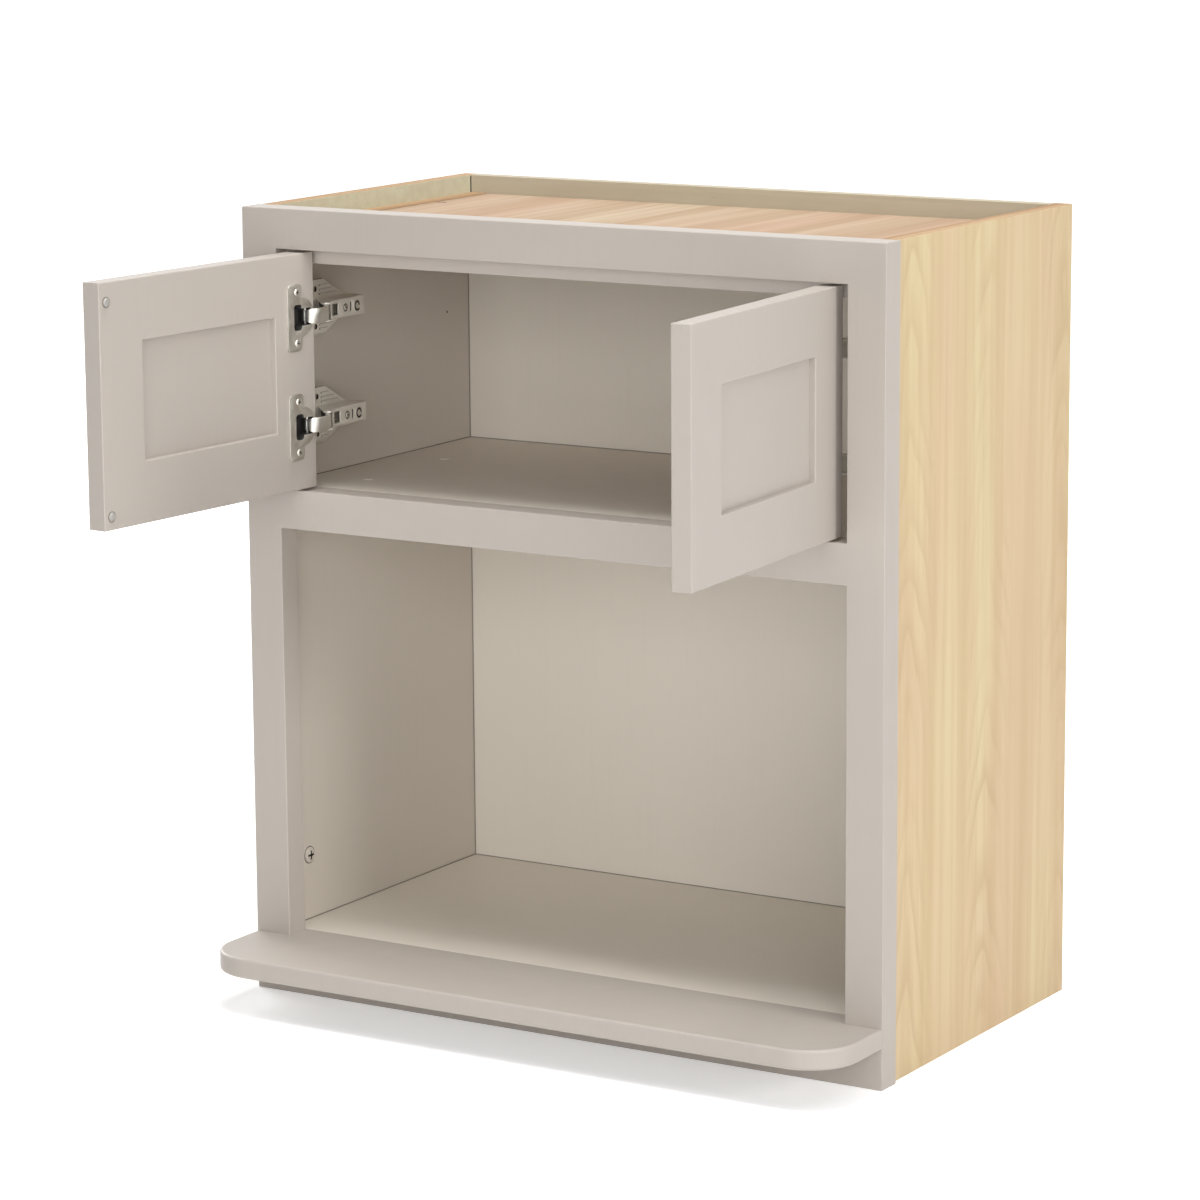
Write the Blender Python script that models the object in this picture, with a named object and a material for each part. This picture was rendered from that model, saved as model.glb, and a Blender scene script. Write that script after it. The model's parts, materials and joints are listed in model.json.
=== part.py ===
"""Face-frame wall cabinet with a microwave bay, two inset doors and a projecting ledge.

Axes: X to the right, Y towards the wall, Z up, in metres. The origin is on the wall, at the
middle of the upper hanging rail's back face. The empty "cabinet" stands below it at the base,
on the wall, and every height and depth in the cabinet counts from there.

A hinge is drawn in its own plan: across is measured into the opening from the frame stile's
inner edge, and back from the face frame's front. The doors are modelled shut, about their
hinge pins, and their empties then swing them open to the pose in which the cabinet is shown.
"""

import math

import bmesh
import bpy
from mathutils import Matrix, Vector

# Cabinet box
CABINET_WIDTH = 0.6858
CABINET_HEIGHT = 0.762
CABINET_DEPTH = 0.381
SIDE_THICKNESS = 0.016
SIDE_SETBACK = 0.004
TOP_RECESS = 0.018
TOP_THICKNESS = 0.012
DECK_THICKNESS = 0.016
BACK_THICKNESS = 0.006
DADO_DEPTH = 0.006
HANGING_RAIL_THICKNESS = 0.016
HANGING_RAIL_HEIGHT = 0.089
SEAT_GAP = 0.0002

# Face frame, with the stop that hangs behind its top rail
FRAME_THICKNESS = 0.027
STILE_WIDTH = 0.0381
RAIL_HEIGHT = 0.0381
BOTTOM_RAIL_HEIGHT = 0.05715
UPPER_OPENING_HEIGHT = 0.2286
STOP_DROP = 0.0145
STOP_BOARD_THICKNESS = 0.013
STOP_CLEARANCE = 0.0004

# Microwave ledge
LEDGE_OVERHANG = 0.09525
LEDGE_THICKNESS = 0.01905
LEDGE_CORNER_RADIUS = 0.050
LEDGE_EDGE_RADIUS = 0.0025

# Inset doors
DOOR_THICKNESS = 0.01905
DOOR_GAP = 0.0025
DOOR_MEETING_GAP = 0.003
DOOR_STILE_WIDTH = 0.05715
DOOR_RAIL_HEIGHT = 0.05715
DOOR_PANEL_THICKNESS = 0.0065
PANEL_TONGUE = 0.009
BUMPER_RADIUS = 0.0045
BUMPER_CROWN_RADIUS = 0.0034
BUMPER_THICKNESS = 0.0017
BUMPER_FROM_EDGE = 0.0095
BUMPER_FROM_TOP = 0.018
BUMPER_FROM_BOTTOM = 0.0125

# Hinge cup in the door
HINGE_FROM_DOOR_END = 0.060
CUP_RADIUS = 0.0172
CUP_FROM_EDGE = 0.0205
CUP_WALL = 0.001
CUP_DEPTH = 0.0125
FLANGE_THICKNESS = 0.0013
FLANGE_HEIGHT = 0.063
FLANGE_NEAR_EDGE = 0.0195
FLANGE_FAR_EDGE = 0.040
FLANGE_CORNER_RADIUS = 0.005
FLANGE_BULGE_RADIUS = 0.0185
FLANGE_SCREW_SPACING = 0.048
FLANGE_SCREW_FROM_EDGE = 0.0265
FLANGE_SCREW_HOLE_RADIUS = 0.0021
MOUTH_NEAR_EDGE = 0.0195
MOUTH_FAR_EDGE = 0.0310
MOUTH_HEIGHT = 0.0244
MOUTH_CORNER_RADIUS = 0.003
MOUTH_SLOT_HEIGHT = 0.0162

# Hinge link, a bowed strap between the pin in the cup and the pin in the arm
CUP_PIN_FROM_EDGE = 0.0075
CUP_PIN_DEPTH = 0.0046
LINK_REACH_ACROSS = 0.0191
LINK_REACH_BACK = 0.02545
LINK_THICKNESS = 0.0018
LINK_CUP_WIDTH = 0.0104
LINK_ARM_WIDTH = 0.0140
LINK_WIDENS_FROM = 0.10
LINK_WIDENS_OVER = 0.14
LINK_BOW_AT_CUP = (0.01390, -0.01064)
LINK_BOW_AT_ARM = (0.01435, -0.00879)
CUP_EYE_RADIUS = 0.0021
CUP_PIN_RADIUS = 0.0012
ARM_EYE_RADIUS = 0.0026
ARM_PIN_RADIUS = 0.0015
PIN_CLEARANCE = 0.0003

# Hinge arm, a channel of folded sheet, and the ribbed wing plate that carries it
ARM_SHEET = 0.0016
ARM_SIDE_GAP = 0.0004
ARM_EAR_RADIUS = 0.0044
ARM_LENGTH = 0.071
ARM_FACE_HEIGHT = 0.0216
ARM_SHOULDER = 0.014
ARM_SHOULDER_DROP = 0.0025
ARM_TAIL_DROP = 0.0160
ARM_FOOT_START = 0.022
ARM_FOOT_END = 0.064
ARM_WINDOW_START = 0.0126
ARM_WINDOW_END = 0.0250
ARM_WINDOW_HEIGHT = 0.0112
ARM_SCREW_BACK = 0.0371
ARM_SCREW_HOLE_RADIUS = 0.0024
ARM_SLOT_BACK = 0.0470
ARM_SLOT_WIDTH = 0.0032
ARM_SLOT_HEIGHT = 0.0100
ARM_CAM_BACK = 0.0575
ARM_CAM_HOLE_RADIUS = 0.0042
PLATE_SHEET = 0.0022
PLATE_FOOT_REACH = 0.014
WING_HEIGHT = 0.054
WING_STRAIGHT = 0.046
WING_LENGTH = 0.080
WING_TIP_HEIGHT = 0.018
WING_HOLE_RADIUS = 0.0026
WING_HOLE_FROM_FOOT = 0.033
WING_HOLE_SPACING = 0.036
RIB_WIDTH = 0.0014
RIB_RISE = 0.0009
RIB_FIRST = 0.0125
RIB_STEP = 0.0042
RIB_COUNT = 3
RIB_START = 0.039
RIB_END_MARGIN = 0.004
PEDESTAL_HEIGHT = 0.0086
PEDESTAL_START = 0.039
PEDESTAL_END = 0.072

# Hinge travel, in degrees: how far the doors stand open here and at their limit, and how far
# the link turns back while its door swings that far
DOOR_SHOWN_OPEN = 94.0
DOOR_LIMIT = 105.0
LINK_TURN_SHOWN = 33.0

# Faceting of round shapes
CUP_SIDES = 40
PIN_SIDES = 16
CORNER_STEPS = 8
STRAP_STEPS = 18

# Places that follow from the sizes above
FRONT = -CABINET_DEPTH
FRAME_BACK = FRONT + FRAME_THICKNESS
HALF_WIDTH = CABINET_WIDTH / 2
HALF_OPENING = HALF_WIDTH - STILE_WIDTH
SIDE_OUTER = HALF_WIDTH - SIDE_SETBACK
SIDE_INNER = SIDE_OUTER - SIDE_THICKNESS
PANEL_HALF_WIDTH = SIDE_INNER + DADO_DEPTH - SEAT_GAP
TOP_FACE = CABINET_HEIGHT - TOP_RECESS
TOP_RAIL_BASE = CABINET_HEIGHT - RAIL_HEIGHT
DECK_FACE = TOP_RAIL_BASE - UPPER_OPENING_HEIGHT
BAY_CEILING = DECK_FACE - RAIL_HEIGHT
BAY_FLOOR = BOTTOM_RAIL_HEIGHT
RAIL_FRONT = -HANGING_RAIL_THICKNESS
BACK_REAR = RAIL_FRONT - SEAT_GAP
BACK_FACE = BACK_REAR - BACK_THICKNESS
HANGING_HEIGHT = CABINET_HEIGHT - HANGING_RAIL_HEIGHT / 2

DOOR_WIDTH = HALF_OPENING - DOOR_GAP - DOOR_MEETING_GAP / 2
DOOR_HEIGHT = UPPER_OPENING_HEIGHT - 2 * DOOR_GAP
DOOR_BASE = DECK_FACE + DOOR_GAP
DOOR_MIDDLE = DOOR_BASE + DOOR_HEIGHT / 2
GROOVE_THICKNESS = DOOR_PANEL_THICKNESS + 2 * SEAT_GAP
HINGE_OFFSETS = {
    "upper": DOOR_HEIGHT / 2 - HINGE_FROM_DOOR_END,
    "lower": HINGE_FROM_DOOR_END - DOOR_HEIGHT / 2,
}

CUP_PIN = Vector((DOOR_GAP + CUP_PIN_FROM_EDGE, DOOR_THICKNESS - CUP_PIN_DEPTH))
ARM_PIN = CUP_PIN + Vector((LINK_REACH_ACROSS, LINK_REACH_BACK))
ARM_INNER_HALF = LINK_ARM_WIDTH / 2 + ARM_SIDE_GAP
ARM_OUTER_HALF = ARM_INNER_HALF + ARM_SHEET
PLATE_FRONT = FRAME_THICKNESS + SEAT_GAP
PLATE_FACE = SEAT_GAP + PLATE_SHEET
ARM_BASE = PLATE_FACE + SEAT_GAP

# Which way is into the opening: +1 from the left stile, -1 from the right one
INWARD = {"left": 1, "right": -1}


def clear_scene():
    """Remove whatever the file starts with."""
    for obj in list(bpy.data.objects):
        bpy.data.objects.remove(obj, do_unlink=True)


def make_material(name, colour, roughness, metallic=0.0):
    """A Principled material of one colour."""
    material = bpy.data.materials.new(name)
    material.use_nodes = True
    shader = material.node_tree.nodes["Principled BSDF"]
    shader.inputs["Base Color"].default_value = (*colour, 1.0)
    shader.inputs["Roughness"].default_value = roughness
    shader.inputs["Metallic"].default_value = metallic
    material.diffuse_color = (*colour, 1.0)
    return material


def make_materials():
    """The finishes, by name."""
    return {
        "paint": make_material("greige_paint", (0.33, 0.29, 0.25), 0.45),
        "maple": make_material("maple_veneer", (0.80, 0.66, 0.47), 0.50),
        "plywood": make_material("raw_plywood", (0.72, 0.55, 0.41), 0.70),
        "nickel": make_material("nickel_plate", (0.62, 0.61, 0.58), 0.28, metallic=1.0),
        "bumper": make_material("clear_bumper", (0.55, 0.54, 0.52), 0.35),
    }


def make_empty(name, parent, location, turn=0.0):
    """An empty that carries other objects, turned about Z by so many radians."""
    empty = bpy.data.objects.new(name, None)
    empty.empty_display_size = 0.02
    bpy.context.scene.collection.objects.link(empty)
    empty.parent = parent
    empty.location = location
    empty.rotation_euler = (0.0, 0.0, turn)
    return empty


def make_object(name, bm, material, parent, location):
    """Turn a bmesh into an object with its faces out, smooth where its facets nearly line up."""
    bmesh.ops.recalc_face_normals(bm, faces=bm.faces)
    mesh = bpy.data.meshes.new(name)
    bm.to_mesh(mesh)
    bm.free()
    mesh.shade_smooth()
    mesh.set_sharp_from_angle(angle=math.radians(35))
    if material:
        mesh.materials.append(material)
    obj = bpy.data.objects.new(name, mesh)
    bpy.context.scene.collection.objects.link(obj)
    obj.parent = parent
    obj.location = location
    return obj


def make_block(name, low, high, material, parent):
    """A board between two corners, with its origin at its middle."""
    low, high = Vector(low), Vector(high)
    bm = bmesh.new()
    bmesh.ops.create_cube(bm, size=1.0)
    bmesh.ops.scale(bm, vec=high - low, verts=bm.verts)
    return make_object(name, bm, material, parent, (low + high) / 2)


def extrude_outline(outline, start, end, to_space):
    """A bmesh prism: the outline's (a, b) points, swept from start to end along the third way."""
    bm = bmesh.new()
    base = bm.faces.new([bm.verts.new(to_space(a, b, start)) for a, b in outline])
    sweep = to_space(0.0, 0.0, end) - to_space(0.0, 0.0, start)
    swept = bmesh.ops.extrude_face_region(bm, geom=[base])["geom"]
    bmesh.ops.translate(bm, vec=sweep, verts=[v for v in swept if isinstance(v, bmesh.types.BMVert)])
    return bm


def upright(hand):
    """Plan points (across, back) swept along Z, mirrored for the right hand."""
    return lambda across, back, height: Vector((hand * across, back, height))


def sideways(hand):
    """Side-view points (back, height) swept across, mirrored for the right hand."""
    return lambda back, height, across: Vector((hand * across, back, height))


def inwards(hand):
    """Door-face points (across, height) swept back through the door, mirrored for the right."""
    return lambda across, height, back: Vector((hand * across, back, height))


def arc(centre, radius, start, end, steps):
    """Points along an arc, with its angles in degrees."""
    turns = [math.radians(start + (end - start) * i / steps) for i in range(steps + 1)]
    return [(centre[0] + radius * math.cos(t), centre[1] + radius * math.sin(t)) for t in turns]


def disc(centre, radius, sides):
    """The corners of a round outline."""
    return arc(centre, radius, 0.0, 360.0 * (sides - 1) / sides, sides - 1)


def rectangle(low, high):
    """The corners of an upright rectangle."""
    return [(low[0], low[1]), (high[0], low[1]), (high[0], high[1]), (low[0], high[1])]


def helper_from(bm, name, parent, location=(0.0, 0.0, 0.0)):
    """A shape that only cuts or joins another, so it isn't a piece of the cabinet."""
    helper = make_object(name, bm, None, parent, location)
    helper.hide_render = True
    helper.display_type = "WIRE"
    return helper


def combine(target, helper, operation):
    """Join a helper to a piece, or cut it out."""
    modifier = target.modifiers.new(helper.name, "BOOLEAN")
    modifier.operation = operation
    modifier.solver = "EXACT"
    modifier.object = helper
    return target


def cut(target, bm, name):
    """Cut a bmesh out of a piece that shares its parent and place."""
    return combine(target, helper_from(bm, name, target.parent, target.location), "DIFFERENCE")


def join(target, bm, name):
    """Join a bmesh to a piece that shares its parent and place."""
    return combine(target, helper_from(bm, name, target.parent, target.location), "UNION")


def block_helper(low, high, name, parent):
    """A block that only cuts or joins."""
    helper = make_block(name, low, high, None, parent)
    helper.hide_render = True
    helper.display_type = "WIRE"
    return helper


def make_face_frame(cabinet, paint):
    """Two full-height stiles with three rails between them."""
    for side, hand in INWARD.items():
        edges = sorted((-hand * HALF_WIDTH, -hand * HALF_OPENING))
        make_block(
            f"{side}_frame_stile",
            (edges[0], FRONT, 0.0),
            (edges[1], FRAME_BACK, CABINET_HEIGHT),
            paint,
            cabinet,
        )
    reach = HALF_OPENING - SEAT_GAP
    heights = {
        "top": (TOP_RAIL_BASE, CABINET_HEIGHT),
        "middle": (BAY_CEILING, DECK_FACE),
        "bottom": (0.0, BAY_FLOOR),
    }
    for name, (low, high) in heights.items():
        make_block(
            f"{name}_frame_rail", (-reach, FRONT, low), (reach, FRAME_BACK, high), paint, cabinet
        )


def make_door_stop(cabinet, paint):
    """An L-shaped strip behind and below the top rail, which the door bumpers meet."""
    lip = FRONT + DOOR_THICKNESS + SEAT_GAP + BUMPER_THICKNESS + STOP_CLEARANCE
    board_front = FRAME_BACK + SEAT_GAP
    board_back = board_front + STOP_BOARD_THICKNESS
    under_rail = TOP_RAIL_BASE - SEAT_GAP
    under_top = TOP_FACE - TOP_THICKNESS - SEAT_GAP
    bottom = TOP_RAIL_BASE - STOP_DROP
    profile = [
        (lip, bottom),
        (board_back, bottom),
        (board_back, under_top),
        (board_front, under_top),
        (board_front, under_rail),
        (lip, under_rail),
    ]
    reach = HALF_OPENING - SEAT_GAP
    bm = extrude_outline(profile, -reach, reach, sideways(1))
    make_object("door_stop", bm, paint, cabinet, (0.0, 0.0, 0.0))


def panel_heights():
    """Each level panel's lower and upper face."""
    return {
        "top_panel": (TOP_FACE - TOP_THICKNESS, TOP_FACE),
        "upper_deck": (DECK_FACE - DECK_THICKNESS, DECK_FACE),
        "bay_floor": (BAY_FLOOR - DECK_THICKNESS, BAY_FLOOR),
    }


def make_level_panels(cabinet, finishes):
    """The top, the deck of the door compartment and the bay floor, each housed in the sides."""
    rears = {"top_panel": BACK_REAR, "upper_deck": BACK_FACE - SEAT_GAP, "bay_floor": BACK_REAR}
    for name, (low, high) in panel_heights().items():
        finish = finishes["plywood"] if name == "top_panel" else finishes["paint"]
        make_block(
            name,
            (-PANEL_HALF_WIDTH, FRAME_BACK + SEAT_GAP, low),
            (PANEL_HALF_WIDTH, rears[name], high),
            finish,
            cabinet,
        )


def make_back(cabinet, paint):
    """The back sheet, which stands on the bay floor in grooves in the sides, and its two rails."""
    low = BAY_FLOOR + SEAT_GAP
    high = TOP_FACE - TOP_THICKNESS - SEAT_GAP
    make_block(
        "back_panel", (-PANEL_HALF_WIDTH, BACK_FACE, low), (PANEL_HALF_WIDTH, BACK_REAR, high), paint, cabinet
    )
    reach = SIDE_INNER - SEAT_GAP
    heights = {
        "upper": (CABINET_HEIGHT - HANGING_RAIL_HEIGHT, CABINET_HEIGHT),
        "lower": (0.0, HANGING_RAIL_HEIGHT),
    }
    for level, (low, high) in heights.items():
        make_block(
            f"{level}_hanging_rail", (-reach, RAIL_FRONT, low), (reach, 0.0, high), paint, cabinet
        )


def make_sides(cabinet, maple):
    """The end panels, grooved for the level panels and the back sheet."""
    slack = 2 * SEAT_GAP
    for side, hand in INWARD.items():
        edges = sorted((-hand * SIDE_OUTER, -hand * SIDE_INNER))
        panel = make_block(
            f"{side}_side_panel",
            (edges[0], FRAME_BACK + SEAT_GAP, 0.0),
            (edges[1], 0.0, CABINET_HEIGHT),
            maple,
            cabinet,
        )
        groove = sorted((-hand * (SIDE_INNER + DADO_DEPTH), -hand * (SIDE_INNER - DADO_DEPTH)))
        for name, (low, high) in panel_heights().items():
            dado = block_helper(
                (groove[0], FRAME_BACK - slack, low - SEAT_GAP),
                (groove[1], BACK_REAR + slack, high + SEAT_GAP),
                f"{side}_{name}_dado",
                cabinet,
            )
            combine(panel, dado, "DIFFERENCE")
        back_groove = block_helper(
            (groove[0], BACK_FACE - SEAT_GAP, BAY_FLOOR - DECK_THICKNESS / 2),
            (groove[1], BACK_REAR + SEAT_GAP, TOP_FACE - TOP_THICKNESS / 2),
            f"{side}_back_groove",
            cabinet,
        )
        combine(panel, back_groove, "DIFFERENCE")


def make_ledge(cabinet, paint):
    """The board that carries the microwave's front, with round corners and eased edges."""
    rear = FRONT - SEAT_GAP
    front = FRONT - LEDGE_OVERHANG
    radius = LEDGE_CORNER_RADIUS
    left = (-HALF_WIDTH + radius, front + radius)
    right = (HALF_WIDTH - radius, front + radius)
    outline = [(-HALF_WIDTH, rear)]
    outline += arc(left, radius, 180.0, 270.0, CORNER_STEPS)
    outline += arc(right, radius, 270.0, 360.0, CORNER_STEPS)
    outline += [(HALF_WIDTH, rear)]
    bm = extrude_outline(outline, BAY_FLOOR - LEDGE_THICKNESS, BAY_FLOOR, upright(1))
    rims = [
        edge
        for edge in bm.edges
        if abs(edge.verts[0].co.z - edge.verts[1].co.z) < SEAT_GAP
        and min(vert.co.y for vert in edge.verts) < rear - SEAT_GAP
    ]
    bmesh.ops.bevel(bm, geom=rims, offset=LEDGE_EDGE_RADIUS, segments=2, profile=0.5, affect="EDGES")
    make_object("microwave_ledge", bm, paint, cabinet, (0.0, 0.0, 0.0))


def door_point(across, back, height):
    """A point of the shut door, seen from its cup pins: across from its hinge edge, back from
    its outer face, and height from its middle."""
    return Vector((across - CUP_PIN_FROM_EDGE, back - CUP_PIN.y, height))


def door_block(name, low, high, hand, material, door):
    """A board of a door between two corners given as for door_point."""
    corners = [door_point(*low), door_point(*high)]
    xs = sorted(hand * corner.x for corner in corners)
    return make_block(
        name,
        (xs[0], corners[0].y, corners[0].z),
        (xs[1], corners[1].y, corners[1].z),
        material,
        door,
    )


def make_door_frame(side, hand, door, paint):
    """Stiles with a through groove, rails with stub tenons in it, and the panel in all four."""
    half = DOOR_HEIGHT / 2
    inner_half = half - DOOR_RAIL_HEIGHT
    far_stile = DOOR_WIDTH - DOOR_STILE_WIDTH
    groove_front = (DOOR_THICKNESS - GROOVE_THICKNESS) / 2
    groove_back = (DOOR_THICKNESS + GROOVE_THICKNESS) / 2
    tongue_front = groove_front + SEAT_GAP
    tongue_back = groove_back - SEAT_GAP
    tongue_start = DOOR_STILE_WIDTH - PANEL_TONGUE
    tongue_end = far_stile + PANEL_TONGUE
    tongue_half = inner_half + PANEL_TONGUE

    groove = block_helper(
        *mirrored_corners(
            door_point(tongue_start - SEAT_GAP, groove_front, -half - SEAT_GAP),
            door_point(tongue_end + SEAT_GAP, groove_back, half + SEAT_GAP),
            hand,
        ),
        f"{side}_door_stile_groove",
        door,
    )
    stiles = {"hinge": (0.0, DOOR_STILE_WIDTH), "free": (far_stile, DOOR_WIDTH)}
    made = {}
    for name, (start, end) in stiles.items():
        made[name] = door_block(
            f"{side}_door_{name}_stile",
            (start, 0.0, -half),
            (end, DOOR_THICKNESS, half),
            hand,
            paint,
            door,
        )
        combine(made[name], groove, "DIFFERENCE")

    panel_groove = block_helper(
        *mirrored_corners(
            door_point(tongue_start - SEAT_GAP, groove_front, -tongue_half - SEAT_GAP),
            door_point(tongue_end + SEAT_GAP, groove_back, tongue_half + SEAT_GAP),
            hand,
        ),
        f"{side}_door_rail_groove",
        door,
    )
    rails = {"top": (inner_half, half), "bottom": (-half, -inner_half)}
    for name, (low, high) in rails.items():
        rail = door_block(
            f"{side}_door_{name}_rail",
            (DOOR_STILE_WIDTH + SEAT_GAP, 0.0, low),
            (far_stile - SEAT_GAP, DOOR_THICKNESS, high),
            hand,
            paint,
            door,
        )
        tenon = block_helper(
            *mirrored_corners(
                door_point(tongue_start, tongue_front, low),
                door_point(tongue_end, tongue_back, high),
                hand,
            ),
            f"{side}_door_{name}_tenon",
            door,
        )
        combine(rail, tenon, "UNION")
        combine(rail, panel_groove, "DIFFERENCE")

    door_block(
        f"{side}_door_panel",
        (tongue_start, tongue_front, -tongue_half),
        (tongue_end, tongue_back, tongue_half),
        hand,
        paint,
        door,
    )
    return made["hinge"]


def mirrored_corners(low, high, hand):
    """Two corners with their X mirrored for the right hand and put back in order."""
    xs = sorted((hand * low.x, hand * high.x))
    return (xs[0], low.y, low.z), (xs[1], high.y, high.z)


def make_bumpers(side, hand, door, material):
    """Two small domed pads on the door's inner face, by its free edge."""
    half = DOOR_HEIGHT / 2
    face = DOOR_THICKNESS + SEAT_GAP + BUMPER_THICKNESS / 2
    heights = {"upper": half - BUMPER_FROM_TOP, "lower": BUMPER_FROM_BOTTOM - half}
    for level, height in heights.items():
        bm = bmesh.new()
        bmesh.ops.create_cone(
            bm,
            cap_ends=True,
            segments=PIN_SIDES,
            radius1=BUMPER_RADIUS,
            radius2=BUMPER_CROWN_RADIUS,
            depth=BUMPER_THICKNESS,
            matrix=Matrix.Rotation(math.radians(-90.0), 4, "X"),
        )
        place = door_point(DOOR_WIDTH - BUMPER_FROM_EDGE, face, height)
        place.x *= hand
        make_object(f"{side}_{level}_bumper", bm, material, door, place)


def flange_outline():
    """The cup flange's face: a rounded plate with a round bulge towards the hinge edge."""
    half = FLANGE_HEIGHT / 2
    radius = FLANGE_CORNER_RADIUS
    meet = math.degrees(math.acos((FLANGE_NEAR_EDGE - CUP_FROM_EDGE) / FLANGE_BULGE_RADIUS))
    outline = arc((CUP_FROM_EDGE, 0.0), FLANGE_BULGE_RADIUS, meet, 360.0 - meet, CUP_SIDES // 2)
    corners = [
        ((FLANGE_NEAR_EDGE + radius, radius - half), 180.0),
        ((FLANGE_FAR_EDGE - radius, radius - half), 270.0),
        ((FLANGE_FAR_EDGE - radius, half - radius), 0.0),
        ((FLANGE_NEAR_EDGE + radius, half - radius), 90.0),
    ]
    for centre, start in corners:
        outline += arc(centre, radius, start, start + 90.0, CORNER_STEPS // 2)
    return outline


def mouth_outline():
    """The cup's opening: a rounded window, and a slot for the link towards the hinge edge."""
    wall = CUP_RADIUS - CUP_WALL
    half = MOUTH_HEIGHT / 2
    slot_half = MOUTH_SLOT_HEIGHT / 2
    radius = MOUTH_CORNER_RADIUS
    reach = math.degrees(math.asin(slot_half / wall))
    outline = arc((CUP_FROM_EDGE, 0.0), wall, 180.0 - reach, 180.0 + reach, CORNER_STEPS)
    outline.append((MOUTH_NEAR_EDGE, -slot_half))
    corners = [
        ((MOUTH_NEAR_EDGE + radius, radius - half), 180.0),
        ((MOUTH_FAR_EDGE - radius, radius - half), 270.0),
        ((MOUTH_FAR_EDGE - radius, half - radius), 0.0),
        ((MOUTH_NEAR_EDGE + radius, half - radius), 90.0),
    ]
    for centre, start in corners:
        outline += arc(centre, radius, start, start + 90.0, CORNER_STEPS // 2)
    outline.append((MOUTH_NEAR_EDGE, slot_half))
    return outline


def make_cup(side, hand, level, door, hinge_stile, nickel):
    """A pressed cup with its flange on the door's inner face, and its bore in the door stile."""
    name = f"{side}_{level}_hinge_cup"
    face = DOOR_THICKNESS + SEAT_GAP
    outer_face = face + FLANGE_THICKNESS
    rim = face + FLANGE_THICKNESS / 2
    place = door_point(0.0, 0.0, HINGE_OFFSETS[level])
    place.x *= hand
    centre = (CUP_FROM_EDGE, 0.0)
    mapped = inwards(hand)

    bm = extrude_outline(flange_outline(), face, outer_face, mapped)
    cup = make_object(name, bm, nickel, door, place)
    bowl = extrude_outline(disc(centre, CUP_RADIUS, CUP_SIDES), DOOR_THICKNESS - CUP_DEPTH, rim, mapped)
    join(cup, bowl, f"{name}_bowl")
    hollow = extrude_outline(
        mouth_outline(),
        DOOR_THICKNESS - CUP_DEPTH + CUP_WALL,
        outer_face + CUP_WALL,
        mapped,
    )
    cut(cup, hollow, f"{name}_hollow")
    pin_hole = extrude_outline(
        disc((CUP_PIN_FROM_EDGE, DOOR_THICKNESS - CUP_PIN_DEPTH), CUP_PIN_RADIUS + PIN_CLEARANCE, PIN_SIDES),
        -CUP_RADIUS,
        CUP_RADIUS,
        upright(hand),
    )
    cut(cup, pin_hole, f"{name}_pin_hole")
    for end in (-1, 1):
        screw_hole = extrude_outline(
            disc(
                (FLANGE_SCREW_FROM_EDGE, end * FLANGE_SCREW_SPACING / 2),
                FLANGE_SCREW_HOLE_RADIUS,
                PIN_SIDES,
            ),
            face - CUP_WALL,
            outer_face + CUP_WALL,
            mapped,
        )
        cut(cup, screw_hole, f"{name}_screw_hole_{'lower' if end < 0 else 'upper'}")

    bore = extrude_outline(
        disc(centre, CUP_RADIUS + SEAT_GAP, CUP_SIDES),
        DOOR_THICKNESS - CUP_DEPTH - SEAT_GAP,
        outer_face,
        mapped,
    )
    combine(hinge_stile, helper_from(bore, f"{name}_bore", door, place), "DIFFERENCE")


def turned(point, degrees):
    """A plan vector turned about Z."""
    angle = math.radians(degrees)
    return Vector(
        (
            point.x * math.cos(angle) - point.y * math.sin(angle),
            point.x * math.sin(angle) + point.y * math.cos(angle),
        )
    )


def shown_cup_pin():
    """Where the cup pin lies, seen from the arm pin, with the door open as shown."""
    return turned(CUP_PIN - ARM_PIN, LINK_TURN_SHOWN)


def strap_sections(steps):
    """Along the strap's bow from the cup pin to the arm pin: middle, side way and half width."""
    start = shown_cup_pin()
    end = Vector((0.0, 0.0))
    pull_start = start + Vector(LINK_BOW_AT_CUP)
    pull_end = end + Vector(LINK_BOW_AT_ARM)
    sections = []
    for i in range(steps + 1):
        t = i / steps
        s = 1.0 - t
        middle = s**3 * start + 3 * s * s * t * pull_start + 3 * s * t * t * pull_end + t**3 * end
        along = (
            s * s * (pull_start - start) + 2 * s * t * (pull_end - pull_start) + t * t * (end - pull_end)
        ).normalized()
        widening = min(max((t - LINK_WIDENS_FROM) / LINK_WIDENS_OVER, 0.0), 1.0)
        width = LINK_CUP_WIDTH + (LINK_ARM_WIDTH - LINK_CUP_WIDTH) * widening
        sections.append((middle, Vector((-along.y, along.x)), width / 2))
    return sections


def make_strap(hand):
    """The bowed strap, as a closed bmesh seen from the arm pin."""
    bm = bmesh.new()
    rings = []
    for middle, normal, half_width in strap_sections(STRAP_STEPS):
        faces = [middle - normal * LINK_THICKNESS / 2, middle + normal * LINK_THICKNESS / 2]
        corners = [
            (faces[0], -half_width),
            (faces[1], -half_width),
            (faces[1], half_width),
            (faces[0], half_width),
        ]
        rings.append([bm.verts.new((hand * at.x, at.y, height)) for at, height in corners])
    for before, after in zip(rings, rings[1:]):
        for i in range(len(before)):
            j = (i + 1) % len(before)
            bm.faces.new((before[i], before[j], after[j], after[i]))
    bm.faces.new(rings[0])
    bm.faces.new(rings[-1])
    return bm


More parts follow.
